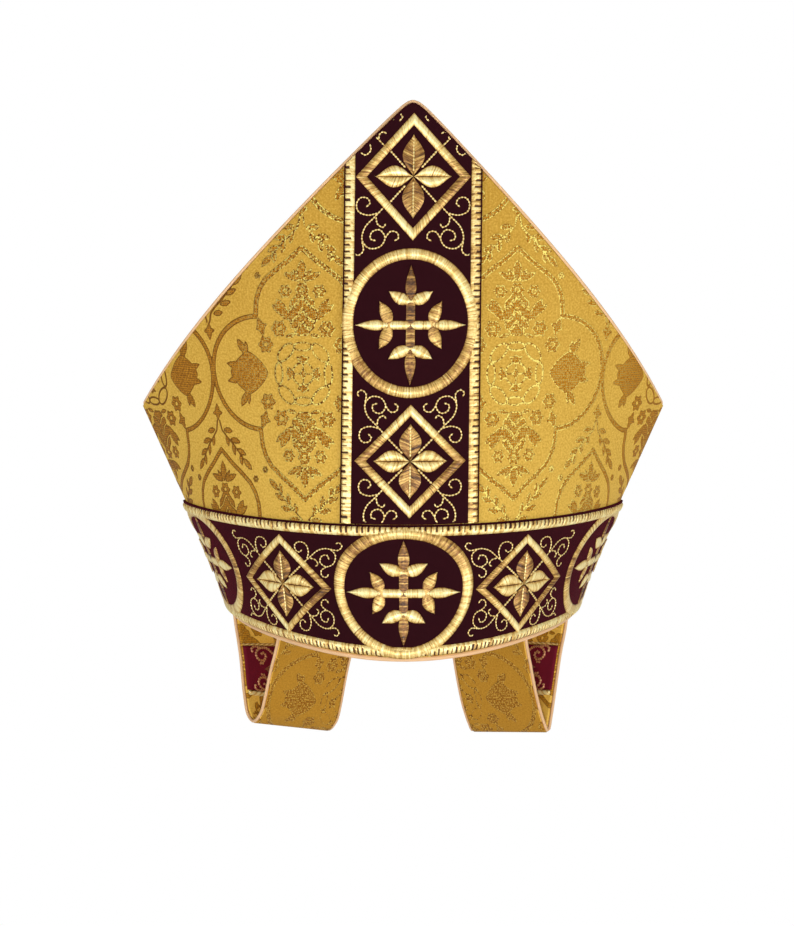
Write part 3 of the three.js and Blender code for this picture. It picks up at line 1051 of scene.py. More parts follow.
@dataclass
class LappetForm(ClothForm):
    """One folded lappet: across it, and along it from its root."""

    wall: WallForm
    side: int
    tilt: float
    path: tuple
    width: float = 53.0
    inset: float = 5.4
    bearing: float = math.radians(35)
    root_radius: float = 86.0
    flat_below: float = 45.0
    tilted_below: float = 70.0
    cupped_share: float = 0.4
    end_allowance: float = 3.0

    def __post_init__(self) -> None:
        """Sets the root's place and the line that the lappet follows."""
        half_width = self.wall.head_half_width - self.inset
        half_depth = self.wall.head_half_depth - self.inset
        sine, cosine = math.sin(self.bearing), math.cos(self.bearing)
        self.root = np.array([self.side * half_width * sine, half_depth * cosine, 0])
        self.out = unit(np.array([self.side * sine / half_width, cosine / half_depth, 0]))
        self.across = np.array([self.side * self.out[1], -abs(self.out[0]), 0])
        self.line = smooth_line(self.path, 900)
        self.reach = float(gaps(self.line).sum())
        self.length = self.reach - self.end_allowance
        self.steps = np.linspace(0, self.reach, len(self.line))
        self.fold_place = float(self.steps[np.argmin(self.line[:, 1])])

    def middle(self, w: Points, s: Points) -> Points:
        """A point of the middle surface."""
        out, up = (np.interp(s, self.steps, column) for column in self.line.T)
        cupped = 1 - np.clip(-up / self.flat_below, 0, 1)
        cup = np.where(s < self.length * self.cupped_share, cupped, 0) * w**2 / (2 * self.root_radius)
        tilt = self.tilt * np.clip(-up / self.tilted_below, 0, 1) * (2 * w / self.width - 1)
        place = self.root + w[:, None] * self.across + (out - cup)[:, None] * self.out
        place[:, 2] = up + tilt
        return place

    def lay(self, flat: Points) -> Points:
        """Places flat points; lift is towards the inside of the fold."""
        w, s, lift = flat.T
        step = 0.5
        inside = np.clip(s, step, self.reach - step)
        along = self.middle(w, inside + step) - self.middle(w, inside - step)
        wide = self.middle(w + step, s) - self.middle(w - step, s)
        normal = unit(np.cross(wide, along)) * self.side
        return self.middle(w, s) + normal * lift[:, None]


# Flat embroidery


@dataclass
class Embroiderer:
    """Works flat motifs in raised satin stitch and chain stitch."""

    bench: Bench
    stitch_pitch: float = 0.58
    ridge: float = 0.11
    foot: float = -0.12
    uneven: float = 0.125
    speckle: float = 0.1
    bead_pitch: float = 1.5
    bead_radius: float = 0.47
    bead_uneven: float = 0.07
    # Painted sheen: how bright stitches that lie flat and that stand upright are painted, and how
    # bright a pad's edges are painted as a highlight.
    flat_sheen: float = 0.48
    upright_sheen: float = 0.95
    edge_tone: float = 0.72
    shaded_tone: float = -0.2
    ring_width: float = 5.3
    # Painted sheen of a ring's thread, and the painted shade at its dark places.
    ring_tone: float = 0.8
    ring_shade: float = 0.34
    ring_shade_width: float = 0.075
    # The cross of a roundel, for a ring of this radius: starts and ends of its parts. A leaf's
    # shape is its half width, bulge and sharpness.
    cross_ring: float = 33.8
    arm: tuple = (0.2, 12.0)
    arm_half_width: float = 2.1
    point: tuple = (11.4, 27.4)
    point_shape: tuple = (2.55, 0.36, 2.0)
    side_leaf_out: tuple = (10.4, 15.4)
    side_leaf_beside: tuple = (-1.0, 10.8)
    side_leaf_shape: tuple = (2.9, 0.46, 2.1)
    side_leaf_bend: float = 0.9
    # The frame and the flower of a lozenge.
    frame_width: float = 4.2
    frame_share: float = 0.15
    # Painted sheen added to the frame's sides, clockwise from the upper right, lighter or darker as
    # the light falls on their stitches.
    frame_sheens: tuple = (0.06, -0.2, 0.1, -0.06)
    petal_share: float = 0.66
    petal_shape: tuple = (5.5, 0.5, 2.9)
    rib: tuple = (0.12, 0.92)
    stem_from: float = 0.35
    turned_size: float = 0.84
    draw: np.random.Generator = field(default_factory=lambda: np.random.default_rng(7))

    def satin(
        self,
        first: Rail,
        second: Rail,
        length: float,
        height: float,
        tone: float = 0.0,
        columns: int = 5,
        sheen: Optional[Rail] = None,
    ) -> Item:
        """A pad of stitches that run from one rail to another.

        Args:
            first: Places along one edge, for shares from 0 to 1.
            second: Places along the other edge.
            length: The pad's length, which sets how many stitches it has.
            height: How far it rises at its middle.
            tone: Brightness added to the painted sheen from its stitches' direction.
            columns: Faces along a stitch.
            sheen: Painted sheen along it, in place of that.

        Returns:
            The flat pad.
        """
        stitches = max(int(length / self.stitch_pitch), 3)
        item, place = self.bench.grid("pad", columns, 2 * stitches)
        across, along = place.T
        start, end = first(along), second(along)
        spot = start * (1 - across)[:, None] + end * across[:, None]
        run = end - start
        upright = np.abs(run[:, 1]) / np.maximum(np.linalg.norm(run, axis=1), 1e-6)
        row = np.rint(along * 2 * stitches).astype(int)
        groove = row % 2 == 0
        dome = 1 - np.abs(2 * across - 1) ** 2.6
        rim = dome < 0.01
        lift = self.foot + (height - self.foot) * dome - self.ridge * (groove & ~rim)
        each = self.draw.normal(0, self.uneven, stitches * 2 + 2)[(row + 1) // 2]
        speck = self.draw.normal(0, self.speckle, len(across))
        # Painted sheen: upright stitches are painted brighter than flat ones, as the light catches
        # them, and the edges are painted towards edge_tone as a highlight.
        body = self.flat_sheen + (self.upright_sheen - self.flat_sheen) * upright**1.5 + tone
        if sheen is not None:
            body = sheen(along)
        shade = self.edge_tone + (body - self.edge_tone) * np.clip(dome * 1.3, 0, 1)
        # Painted shade in the grooves between stitches and a painted contact shadow at the pad's
        # foot, with random tone for each stitch and speck.
        shade = shade + each + speck - 0.16 * groove - 0.3 * rim
        return self.worked(item, spot, lift, shade)

    def worked(self, item: Item, spot: Points, lift: Points, shade: Points) -> Item:
        """Shapes flat work and keeps its thread's brightness."""
        self.bench.shape(item, np.column_stack([spot, lift]))
        self.bench.note(item, "tone", np.clip(shade, 0, 1))
        return item

    def chain(self, points: Sequence[tuple], tone: float, size: float, base: float = -0.1) -> Item:
        """A line of chain stitch through points.

        Args:
            points: The points that the line passes through.
            tone: How bright its thread is.
            size: Its thickness against the usual one.
            base: How far above the ground it starts.

        Returns:
            The flat line.
        """
        beads = max(int(gaps(smooth_line(points, 200)).sum() / self.bead_pitch), 2)
        line = smooth_line(points, 2 * beads)
        heading = unit(np.gradient(line, axis=0))
        beside = np.column_stack([-heading[:, 1], heading[:, 0]])
        item, place = self.bench.grid("chain", 4, 2 * beads)
        row = np.rint(place[:, 1] * 2 * beads).astype(int)
        waist = row % 2 == 0
        turn = np.pi * place[:, 0]
        radius = self.bead_radius * size * np.where(waist, 0.5, 1.0)
        spot = line[row] + beside[row] * (radius * np.cos(turn))[:, None]
        lift = radius * np.sin(turn) * 1.3 + base
        each = self.draw.normal(0, self.bead_uneven, 2 * beads + 1)[row]
        # Painted shade at the waists between beads, with random tone for each bead.
        return self.worked(item, spot, lift, tone + each - 0.5 * waist)

    def leaf(
        self,
        base: Points,
        tip: Points,
        half_width: float,
        bulge: float,
        sharpness: float,
        bend: float = 0.0,
        ribbed: bool = False,
        tone: float = 0.0,
    ) -> list[Item]:
        """A pointed leaf or petal, in one pad or in two halves that meet at its midrib.

        Args:
            base: Where it starts.
            tip: Its point.
            half_width: Half of its greatest width.
            bulge: Where along it that width is.
            sharpness: How long its ends taper.
            bend: How far its midrib bows to its left.
            ribbed: Whether it has two halves.
            tone: Brightness added to the painted sheen from its stitches' direction.

        Returns:
            The flat pads.
        """
        start, end = np.array(base, float), np.array(tip, float)
        length = float(np.linalg.norm(end - start))
        beside = np.array([start[1] - end[1], end[0] - start[0]]) / length
        swell, taper = bulge * sharpness, (1 - bulge) * sharpness
        peak = bulge**swell * (1 - bulge) ** taper

        def rib(t: Points) -> Points:
            """The midrib."""
            return straight(start, end)(t) + np.outer(bend * 4 * t * (1 - t), beside)

        def edge(sign: int, t: Points) -> Points:
            """One side's outline, with its stitches slanting towards the tip."""
            ahead = np.clip(t + 0.12 * np.sin(np.pi * t), 0, 1)
            wide = half_width * ahead**swell * (1 - ahead) ** taper / peak
            return rib(ahead) + np.outer(sign * wide, beside)

        left, right = partial(edge, 1), partial(edge, -1)
        if not ribbed:
            return [self.satin(left, right, length, 0.95, tone, columns=6)]
        return [self.satin(rib, side, length, 0.85, tone, columns=4) for side in (left, right)]

    def bar(self, start: Points, end: Points, half_width: float, tone: float) -> Item:
        """A straight bar with stitches across it."""
        length = float(np.linalg.norm(end - start))
        beside = np.array([start[1] - end[1], end[0] - start[0]]) * half_width / length
        rails = [straight(start + shift, end + shift) for shift in (beside, -beside)]
        return self.satin(*rails, length, 0.8, tone)

    def ring(self, half_size: tuple[float, float], shade_at: Sequence[float]) -> Item:
        """An oval ring with stitches across it.

        Args:
            half_size: Half of its outer width and height.
            shade_at: Where painted shade darkens its thread, in turns clockwise from the top.

        Returns:
            The flat ring.
        """

        def oval(inset: float) -> Rail:
            """One edge of the ring."""
            size = np.array(half_size) - inset
            return lambda t: size * np.column_stack([np.sin(FULL_TURN * t), np.cos(FULL_TURN * t)])

        def sheen(t: Points) -> Points:
            """Painted sheen round the ring, darkened by painted shade at each dark place."""
            away = [np.abs((t - place + 0.5) % 1 - 0.5) / self.ring_shade_width for place in shade_at]
            return self.ring_tone - self.ring_shade * sum(np.exp(-(gap**2)) for gap in away)

        length = math.pi * sum(half_size)
        return self.satin(oval(0), oval(self.ring_width), length, 1.15, columns=7, sheen=sheen)

    def roundel(
        self, half_size: tuple[float, float], shade_at: Sequence[float], drop: float = 0.0
    ) -> Item:
        """A ring round a leafy cross.

        Args:
            half_size: Half of the ring's outer width and height.
            shade_at: Where painted shade darkens the ring's thread, in turns clockwise from the top.
            drop: How far the cross lies below the ring's middle.

        Returns:
            The flat motif.
        """
        ring = self.ring(half_size, shade_at)
        self.bench.shape(ring, self.bench.points(ring) + np.array([0, drop, 0]))
        pads = [ring]
        wide, tall = (half / self.cross_ring for half in half_size)
        for x, y in ((0, 1), (0, -1), (-1, 0), (1, 0)):
            out = np.array([x * wide, y * tall])
            beside = np.array([-y * wide, x * tall])
            tone = self.shaded_tone * abs(y)
            arm, point = ([out * place for place in ends] for ends in (self.arm, self.point))
            pads.append(self.bar(*arm, self.arm_half_width, tone))
            pads += self.leaf(*point, *self.point_shape, tone=tone)
            for sign in (1, -1):
                places = zip(self.side_leaf_out, self.side_leaf_beside)
                ends = [out * away + beside * sign * aside for away, aside in places]
                pads += self.leaf(*ends, *self.side_leaf_shape, sign * self.side_leaf_bend)
        return self.bench.join("roundel", pads)

    def diamond(
        self,
        half_size: tuple[float, float],
        inner: float,
        tones: Sequence[float],
        length: float,
        height: float,
        columns: int,
    ) -> list[Item]:
        """A diamond frame, one pad for each side, clockwise from the top.

        Args:
            half_size: Half of its outer width and height.
            inner: Its inner edge's size against the outer one.
            tones: Brightness added to each side, as painted sheen.
            length: A side's length.
            height: How far a side rises at its middle.
            columns: Faces along a stitch.

        Returns:
            The flat pads.
        """
        wide, tall = half_size
        corners = np.array([(0, tall), (wide, 0), (0, -tall), (-wide, 0)])
        pads = []
        for tone, start, end in zip(tones, corners, np.roll(corners, -1, axis=0)):
            rails = straight(start, end), straight(start * inner, end * inner)
            pads.append(self.satin(*rails, length, height, tone, columns))
        return pads

    def lozenge(self, half_size: tuple[float, float]) -> Item:
        """A diamond frame round a four-petalled flower, with its stems.

        Args:
            half_size: Half of the frame's outer width and height.

        Returns:
            The flat motif.
        """
        half_width, half_height = half_size
        side = math.hypot(*half_size)
        thickness = min(self.frame_width, self.frame_share * half_height)
        inner = 1 - thickness / (half_width * half_height / side)
        pads = self.diamond(half_size, inner, self.frame_sheens, side, 0.95, 5)
        tall, wide = self.petal_share * half_height, self.petal_share * half_width
        for tip in ((0, tall), (0, -tall), (-wide, 0), (wide, 0)):
            tone = 0.0 if tip[0] else self.shaded_tone
            pads += self.leaf((0, 0), tip, *self.petal_shape, ribbed=True, tone=tone)
        for y in (-1, 1):
            pads.append(self.chain([(0, share * tall * y) for share in self.rib], 1.1, 0.95, 0.25))
        for corner in CORNERS:
            stem = np.array(corner) * half_size / 2 * inner
            pads.append(self.chain([stem * self.stem_from, stem], 0.95, 1.2))
        return self.bench.join("lozenge", pads)

    def scroll(self, lines: Sequence, scale: tuple[float, float], turned: bool = False) -> Item:
        """The curling stems in one corner outside a lozenge.

        Args:
            lines: The stems' points in the corner to the right and above.
            scale: Their width and height against those, negative where they are mirrored.
            turned: Whether the long curl lies beside the lozenge and not above it.

        Returns:
            The flat motif.
        """
        size = self.turned_size if turned else 1.0
        order = (1, 0) if turned else (0, 1)
        pads = [self.chain(np.array(line)[:, order] * scale, 0.96, size) for line in lines]
        return self.bench.join("scroll", pads)

    def put(
        self,
        pattern: Item,
        form: ClothForm,
        places: Sequence[tuple],
        lift: float,
        keep: Optional[Rail] = None,
    ) -> list[Item]:
        """Lays copies of a flat motif on a form, and then drops the motif.

        Args:
            pattern: The flat motif.
            form: What the copies are laid on.
            places: Their middles, across and up.
            lift: Height of the ground above the form.
            keep: Tells which flat points are on the cloth; the others are cut away.

        Returns:
            The laid copies, without those that are cut away.
        """
        laid = []
        for across, up in places:
            flat = self.bench.points(pattern) + np.array([across, up, lift])
            inside = np.full(len(flat), True) if keep is None else keep(flat)
            if not inside.any():
                continue
            twin = pattern.copy()
            twin.data = pattern.data.copy()
            bpy.context.collection.objects.link(twin)
            if not inside.all():
                self.bench.cut(twin, ~inside)
            self.bench.shape(twin, form.lay(flat[inside]) * MM)
            laid.append(twin)
        mesh = pattern.data
        bpy.data.objects.remove(pattern)
        bpy.data.meshes.remove(mesh)
        return laid


# The woven figure of the brocade


@dataclass(frozen=True)
class Damask:
    """The repeat of the brocade: pointed frames with a knot, thistles, rosettes and leaves."""

    half_period: float = 53.5
    row_step: float = 102.0
    across_at: float = 3.2
    up_at: float = 136.8
    lobe_middle: float = 24.7
    lobe_radius: float = 28.3
    lobe_from: float = math.radians(89)
    frame_top: tuple = ((0, 62), (7.3, 55.6), (14.2, 50.6), (19.5, 46.3), (22.6, 41.7), (24.5, 36.4))
    frame_half_width: float = 1.25
    scale_gap: float = 0.3
    deepest: float = 3.0

    def local(self, across: Points, up: Points, shifted: bool) -> tuple[Points, Points]:
        """Distances from the middle of the nearest frame in one of the two sets of rows."""
        wide, tall = 2 * self.half_period, 2 * self.row_step
        dx = across - self.across_at - (0.0 if shifted else self.half_period)
        dy = up - self.up_at - (self.row_step if shifted else 0.0)
        dx = dx - np.round(dx / wide) * wide
        dy = dy - np.round(dy / tall) * tall
        return np.abs(dx), np.abs(dy)

    @staticmethod
    def line(x: Points, y: Points, points: Sequence[tuple], half_width: float) -> Points:
        """Depth inside a line through points."""
        best = np.full(x.shape, np.inf)
        for (x0, y0), (x1, y1) in zip(points[:-1], points[1:]):
            run, rise = x1 - x0, y1 - y0
            share = np.clip(((x - x0) * run + (y - y0) * rise) / (run**2 + rise**2), 0, 1)
            best = np.minimum(best, np.hypot(x - x0 - share * run, y - y0 - share * rise))
        return half_width - best

    @staticmethod
    def leaf(x: Points, y: Points, base: tuple, tip: tuple, half_width: float) -> Points:
        """Depth inside a pointed leaf with a toothed edge."""
        run, rise = tip[0] - base[0], tip[1] - base[1]
        length = math.hypot(run, rise)
        along = ((x - base[0]) * run + (y - base[1]) * rise) / length
        beside = np.abs((y - base[1]) * run - (x - base[0]) * rise) / length
        teeth = 1 - 0.22 * np.abs(np.sin(along * 1.5))
        return half_width * (1 - (2 * along / length - 1) ** 2) * teeth - beside

    @staticmethod
    def loop(x: Points, y: Points, at: tuple, wide: float, tall: float, turn: float) -> Points:
        """Depth inside the thin outline of a turned oval."""
        dx, dy = x - at[0], y - at[1]
        u = dx * math.cos(turn) + dy * math.sin(turn)
        v = dy * math.cos(turn) - dx * math.sin(turn)
        reach = np.maximum(np.hypot(u / wide, v / tall), 1e-3)
        slope = np.hypot(u / wide**2, v / tall**2) / reach
        return 0.5 - np.abs(reach - 1) / np.maximum(slope, 1e-3)

    @staticmethod
    def rosette(x: Points, y: Points, at: tuple, radius: float) -> Points:
        """Depth inside a small flower with an open heart."""
        away = np.hypot(x - at[0], y - at[1])
        angle = np.arctan2(y - at[1], x - at[0])
        outer = radius * (1 + 0.16 * np.cos(6 * angle)) - away
        return np.minimum(outer, away - radius * 0.28)

    @staticmethod
    def pod(x: Points, y: Points) -> Points:
        """Depth inside the rounded lozenge at a frame's side."""
        middle, wide, tall, power = 30.6, 11.4, 10.8, 1.35
        sides = np.abs((x - middle) / wide) ** power + np.abs(y / tall) ** power
        return (1 - sides ** (1 / power)) * min(wide, tall)

    def thistle(self, x: Points, y: Points) -> Points:
        """Depth inside a plump head with a scalloped edge and gaps between its scales."""
        middle, wide, tall = 29.2, 7.8, 11.2
        dx, dy = x / wide, (y - middle) / tall
        scallop = 1 - 0.07 * np.abs(np.sin(5 * np.arctan2(dy, dx)))
        head = (scallop - np.hypot(dx, dy)) * min(wide, tall)
        cuts = [self.line(x, y, points, self.scale_gap) for points in DAMASK_SCALES]
        return np.minimum(head, -np.maximum.reduce(cuts))

    def depth(self, across: Points, up: Points) -> Points:
        """Depth inside the figure at flat places, in millimetres, negative outside it.

        Args:
            across: Distance across from the horn's centre line.
            up: Distance up from the brim.

        Returns:
            The depth for each place.
        """
        sets = [self.frame_depth(*self.local(across, up, shifted)) for shifted in (False, True)]
        return np.clip(np.maximum(*sets), -self.deepest, self.deepest)

    def frame_depth(self, x: Points, y: Points) -> Points:
        """Depth inside one frame and what it holds, from distances to its middle."""
        angles = np.linspace(self.lobe_from, 0, 14)
        across, up = self.lobe_radius * np.cos(angles), self.lobe_radius * np.sin(angles)
        frame = [*self.frame_top, *zip(self.lobe_middle + across, up)]
        parts = [
            self.line(x, y, frame, self.frame_half_width),
            self.thistle(x, y),
            self.pod(x, y),
            *(self.line(x, y, *row) for row in DAMASK_LINES),
            *(self.loop(x, y, *row) for row in DAMASK_LOOPS),
            *(self.leaf(x, y, *row) for row in DAMASK_LEAVES),
            *(self.rosette(x, y, *row) for row in DAMASK_ROSETTES),
        ]
        return np.maximum.reduce(parts)


# The pieces of the mitre


@dataclass
class HornPanels:
    """The two stiff brocade walls, their linings and their slanting edge cords."""

    bench: Bench
    wall: WallForm
    side_columns: int = 186
    centre_columns: int = 10
    rows: int = 204
    hidden_rows: int = 6
    hidden_below: float = 58.0
    hidden_turn: float = 0.16
    spaced_at: float = 100.0
    apex_turn: float = 0.3
    up_scale: float = 1.0105
    relief: float = 0.22
    sunk: float = 0.05
    rim_height: float = 4.0
    rim_turn: float = 0.06
    ease_from: float = 103.8
    ease_over: float = 25.0
    ease_in: float = 1.5
    ease_down: float = 3.0
    ease_bow: float = 1.3
    lining_grid: tuple = (80, 50)
    lining_gap: float = 0.02
    tip_cord_radius: float = 0.82
    side_cord_radius: float = 1.15
    cord_turns: tuple = (0.2, 0.6)
    cord_grid: tuple = (10, 260)
    cord_reach: float = 2.3
    cord_end: float = math.radians(88.4)
    cord_tip_turn: float = 0.024
    seam_gap: float = 0.15

    def build(self) -> None:
        """Makes both horns."""
        for side in Side:
            self.panel(side)
            self.lining(side)
            self.edge_cord(side)

    def panel(self, side: Side) -> None:
        """One brocade wall, woven figure and all."""
        columns = 2 * self.side_columns + self.centre_columns
        item, place = self.bench.grid(f"{side.value}_horn_brocade", columns, self.rows)
        theta = self.bearing(np.rint(place[:, 0] * columns))
        top = self.wall.column_top(theta) + self.cord_reach - 2 * self.cord_radius(theta)
        row = np.rint(place[:, 1] * self.rows)
        foot = self.wall.brim_height(theta)
        below = foot + (self.hidden_below - foot) * row / self.hidden_rows
        share = (row - self.hidden_rows) / (self.rows - self.hidden_rows)
        above = self.hidden_below + (top - self.hidden_below) * share
        z = np.where(row < self.hidden_rows, below, above)
        across, up = self.wall.arc(theta, z), z * self.up_scale
        depth = Damask().depth(*self.eased(across, up))
        raised = self.relief * np.clip((depth + 0.3) / 0.8, 0, 1)
        rim = np.clip((top - z) / self.rim_height, 0, 1)
        seam = np.clip((QUARTER_TURN - np.abs(theta)) / self.rim_turn, 0, 1)
        points = self.wall.skin(theta, z, raised * rim * seam - self.sunk)
        points[:, 2] = z
        self.spread(item, points, np.column_stack([across, up]), side, side is Side.BACK)
        self.bench.note(item, "figure", depth)
        self.bench.thicken(item, self.wall.wall, lined=True, rim_only=True)
        self.bench.dress(item, Finish.BROCADE, f"{side.value}_panel", lining=Finish.SATIN)

    def spread(self, item: Item, points: Points, flat: Points, side: Side, turned: bool) -> None:
        """Shapes one horn's sheet, clear of the other horn at the side seams."""
        points[:, 1] = np.minimum(points[:, 1], -self.seam_gap)
        self.bench.spread(item, side.mirror(points), flat, turned)

    def cord_radius(self, theta: Points) -> Points:
        """Radius of the slanting cord, thinner where it rounds the tip."""
        radii = (self.tip_cord_radius, self.side_cord_radius)
        return np.interp(np.abs(theta), self.cord_turns, radii)

    def eased(self, across: Points, up: Points) -> tuple[Points, Points]:
        """Flat places with the figure drawn in and down towards the side seams."""
        reach = np.abs(across)
        past = np.clip((reach - self.ease_from) / self.ease_over, 0, 1.2)
        closer = np.sign(across) * (reach + self.ease_in * past**1.5)
        bow = self.ease_bow * (reach / self.ease_from) ** 2
        return closer, up + bow + self.ease_down * past

    def bearing(self, column: Points) -> Points:
        """Bearing of a column: few lie behind the strip, the others are evenly spaced."""
        half = self.centre_columns / 2
        middle = column - self.side_columns - half
        apex = math.asin(self.wall.apex_offset / self.wall.half_chord(self.wall.apex_height))
        bearings, lengths = self.wall.arc_table(self.spaced_at)
        first = float(np.interp(self.hidden_turn, bearings, lengths))
        past = np.abs(middle) - half
        reach = first + (lengths[-1] - first) * np.maximum(past, 0) / self.side_columns
        outer = np.interp(reach, lengths, bearings)
        inner = self.hidden_turn * np.abs(middle) / half
        turn = np.sign(middle) * np.where(past > 0, outer, inner)
        return turn + apex * np.clip(1 - np.abs(turn) / self.apex_turn, 0, 1)

    def lining(self, side: Side) -> None:
        """The satin on the inside of one wall."""
        item, place = self.bench.grid(f"{side.value}_horn_lining", *self.lining_grid)
        u = 2 * place[:, 0] - 1
        theta = QUARTER_TURN * np.sign(u) * np.abs(u) ** 1.15
        foot = self.wall.brim_height(theta)
        z = foot + (self.wall.column_top(theta) - foot) * place[:, 1]
        points = self.wall.point(theta, z, self.wall.wall - self.lining_gap)
        flat = np.column_stack([self.wall.arc(theta, z), z])
        self.spread(item, points, flat, side, side is Side.FRONT)
        self.bench.dress(item, Finish.SATIN)

    def edge_cord(self, side: Side) -> None:
        """The peach cord along one horn's slanting edges."""
        item, place = self.bench.grid(f"{side.value}_horn_edge_cord", *self.cord_grid)
        u = np.linspace(-1, 1, self.cord_grid[1] + 1)
        theta = self.cord_end * np.sign(u) * np.abs(u) ** 1.4 + self.cord_tip_turn * (1 - u**2)
        middle = self.wall.point(theta, self.wall.column_top(theta), self.wall.wall / 2)
        along = unit(np.gradient(middle, axis=0))
        outward = unit(np.cross(self.wall.normal(theta, middle[:, 2]), along))
        outward = outward * np.sign(outward[:, 2:3])
        lift = unit(np.cross(along, outward))
        radius = self.cord_radius(theta)
        centre = middle + outward * (self.cord_reach - radius)[:, None]
        centre[:, 1] = np.minimum(centre[:, 1], -0.8 * radius)
        points, flat = tube(place, centre, outward, lift, radius)
        self.bench.cord(item, side.mirror(points), flat, f"{side.value}_edge_piping")


@dataclass
class GroundWork:
    """Maroon cloth on a form, with gold borders and motifs sewn on it."""

    stitcher: Embroiderer
    form: ClothForm
    lift: float = 1.25
    thickness: float = 0.95
    roundel_lift: float = 0.25
    stitch: float = 0.9
    slit_pitch: float = 3.15
    slit_width: float = 0.8
    border_height: float = 1.1
    border_foot: float = -0.15
    border_columns: int = 8
    border_uneven: float = 0.17

    def __post_init__(self) -> None:
        """Takes the embroiderer's bench."""
        self.bench = self.stitcher.bench

    def spread(self, item: Item, across: Points, up: Points, turned: bool = False) -> None:
        """Lays the maroon cloth at the ground's height."""
        flat = np.column_stack([across, up, np.full(up.shape, self.lift)])
        self.bench.spread(item, self.form.lay(flat), flat[:, :2], turned)

    def border(self, name: str, rails: tuple[Rail, Rail], length: float, tone: float) -> Item:
        """A flat gold border, with slits between groups of stitches along its outer side, painted
        dark as shade.

        Args:
            name: The piece's name.
            rails: Its edge beside the motifs, and its other edge.
            length: Its length.
            tone: How bright its thread is, painted sheen included.

        Returns:
            The border, laid on the form.
        """
        rows = 2 * int(length / self.stitch)
        item, place = self.bench.grid(name, self.border_columns, rows)
        across, along = place.T
        inner, outer = (rail(along) for rail in rails)
        spot = inner * (1 - across)[:, None] + outer * across[:, None]
        row = np.rint(along * rows).astype(int)
        dome = 1 - np.abs(2 * across - 1) ** 4
        groove = row % 2 == 0
        reach, pitch, draw = along * length, self.slit_pitch, self.stitcher.draw
        phase = np.abs((reach + pitch / 2) % pitch - pitch / 2)
        which = np.rint(reach / pitch).astype(int)
        ragged = draw.uniform(-1, 1, (int(length / pitch) + 3, 2))[which]
        slit = (phase < self.slit_width / 2 * (1 + 0.3 * ragged[:, 0])) & (across < 0.95)
        slit &= across > 0.42 + 0.14 * ragged[:, 1]
        lift = self.border_foot + (self.border_height - self.border_foot) * dome
        lift = lift - 0.12 * groove * (dome > 0.01) - 0.6 * slit
        each = draw.normal(0, self.border_uneven, rows + 2)[(row + 1) // 2]
        speck = draw.normal(0, self.stitcher.speckle, len(across))
        # Painted shade in the grooves between stitches and towards the border's edges, with random
        # tone for each stitch and speck; the slits are painted darkest, as shade.
        shade = tone + each + speck - 0.16 * groove - 0.25 * (1 - dome)
        self.stitcher.worked(item, spot, lift, np.where(slit, 0.0, shade))
        flat = self.bench.points(item) + np.array([0, 0, self.lift])
        self.bench.shape(item, self.form.lay(flat) * MM)
        return item

    def put(
        self, pattern: Item, places: Sequence[tuple], lift: float = 0.0, keep: Optional[Rail] = None
    ) -> list[Item]:
        """Lays copies of a flat motif on the maroon cloth."""
        return self.stitcher.put(pattern, self.form, places, self.lift + lift, keep)


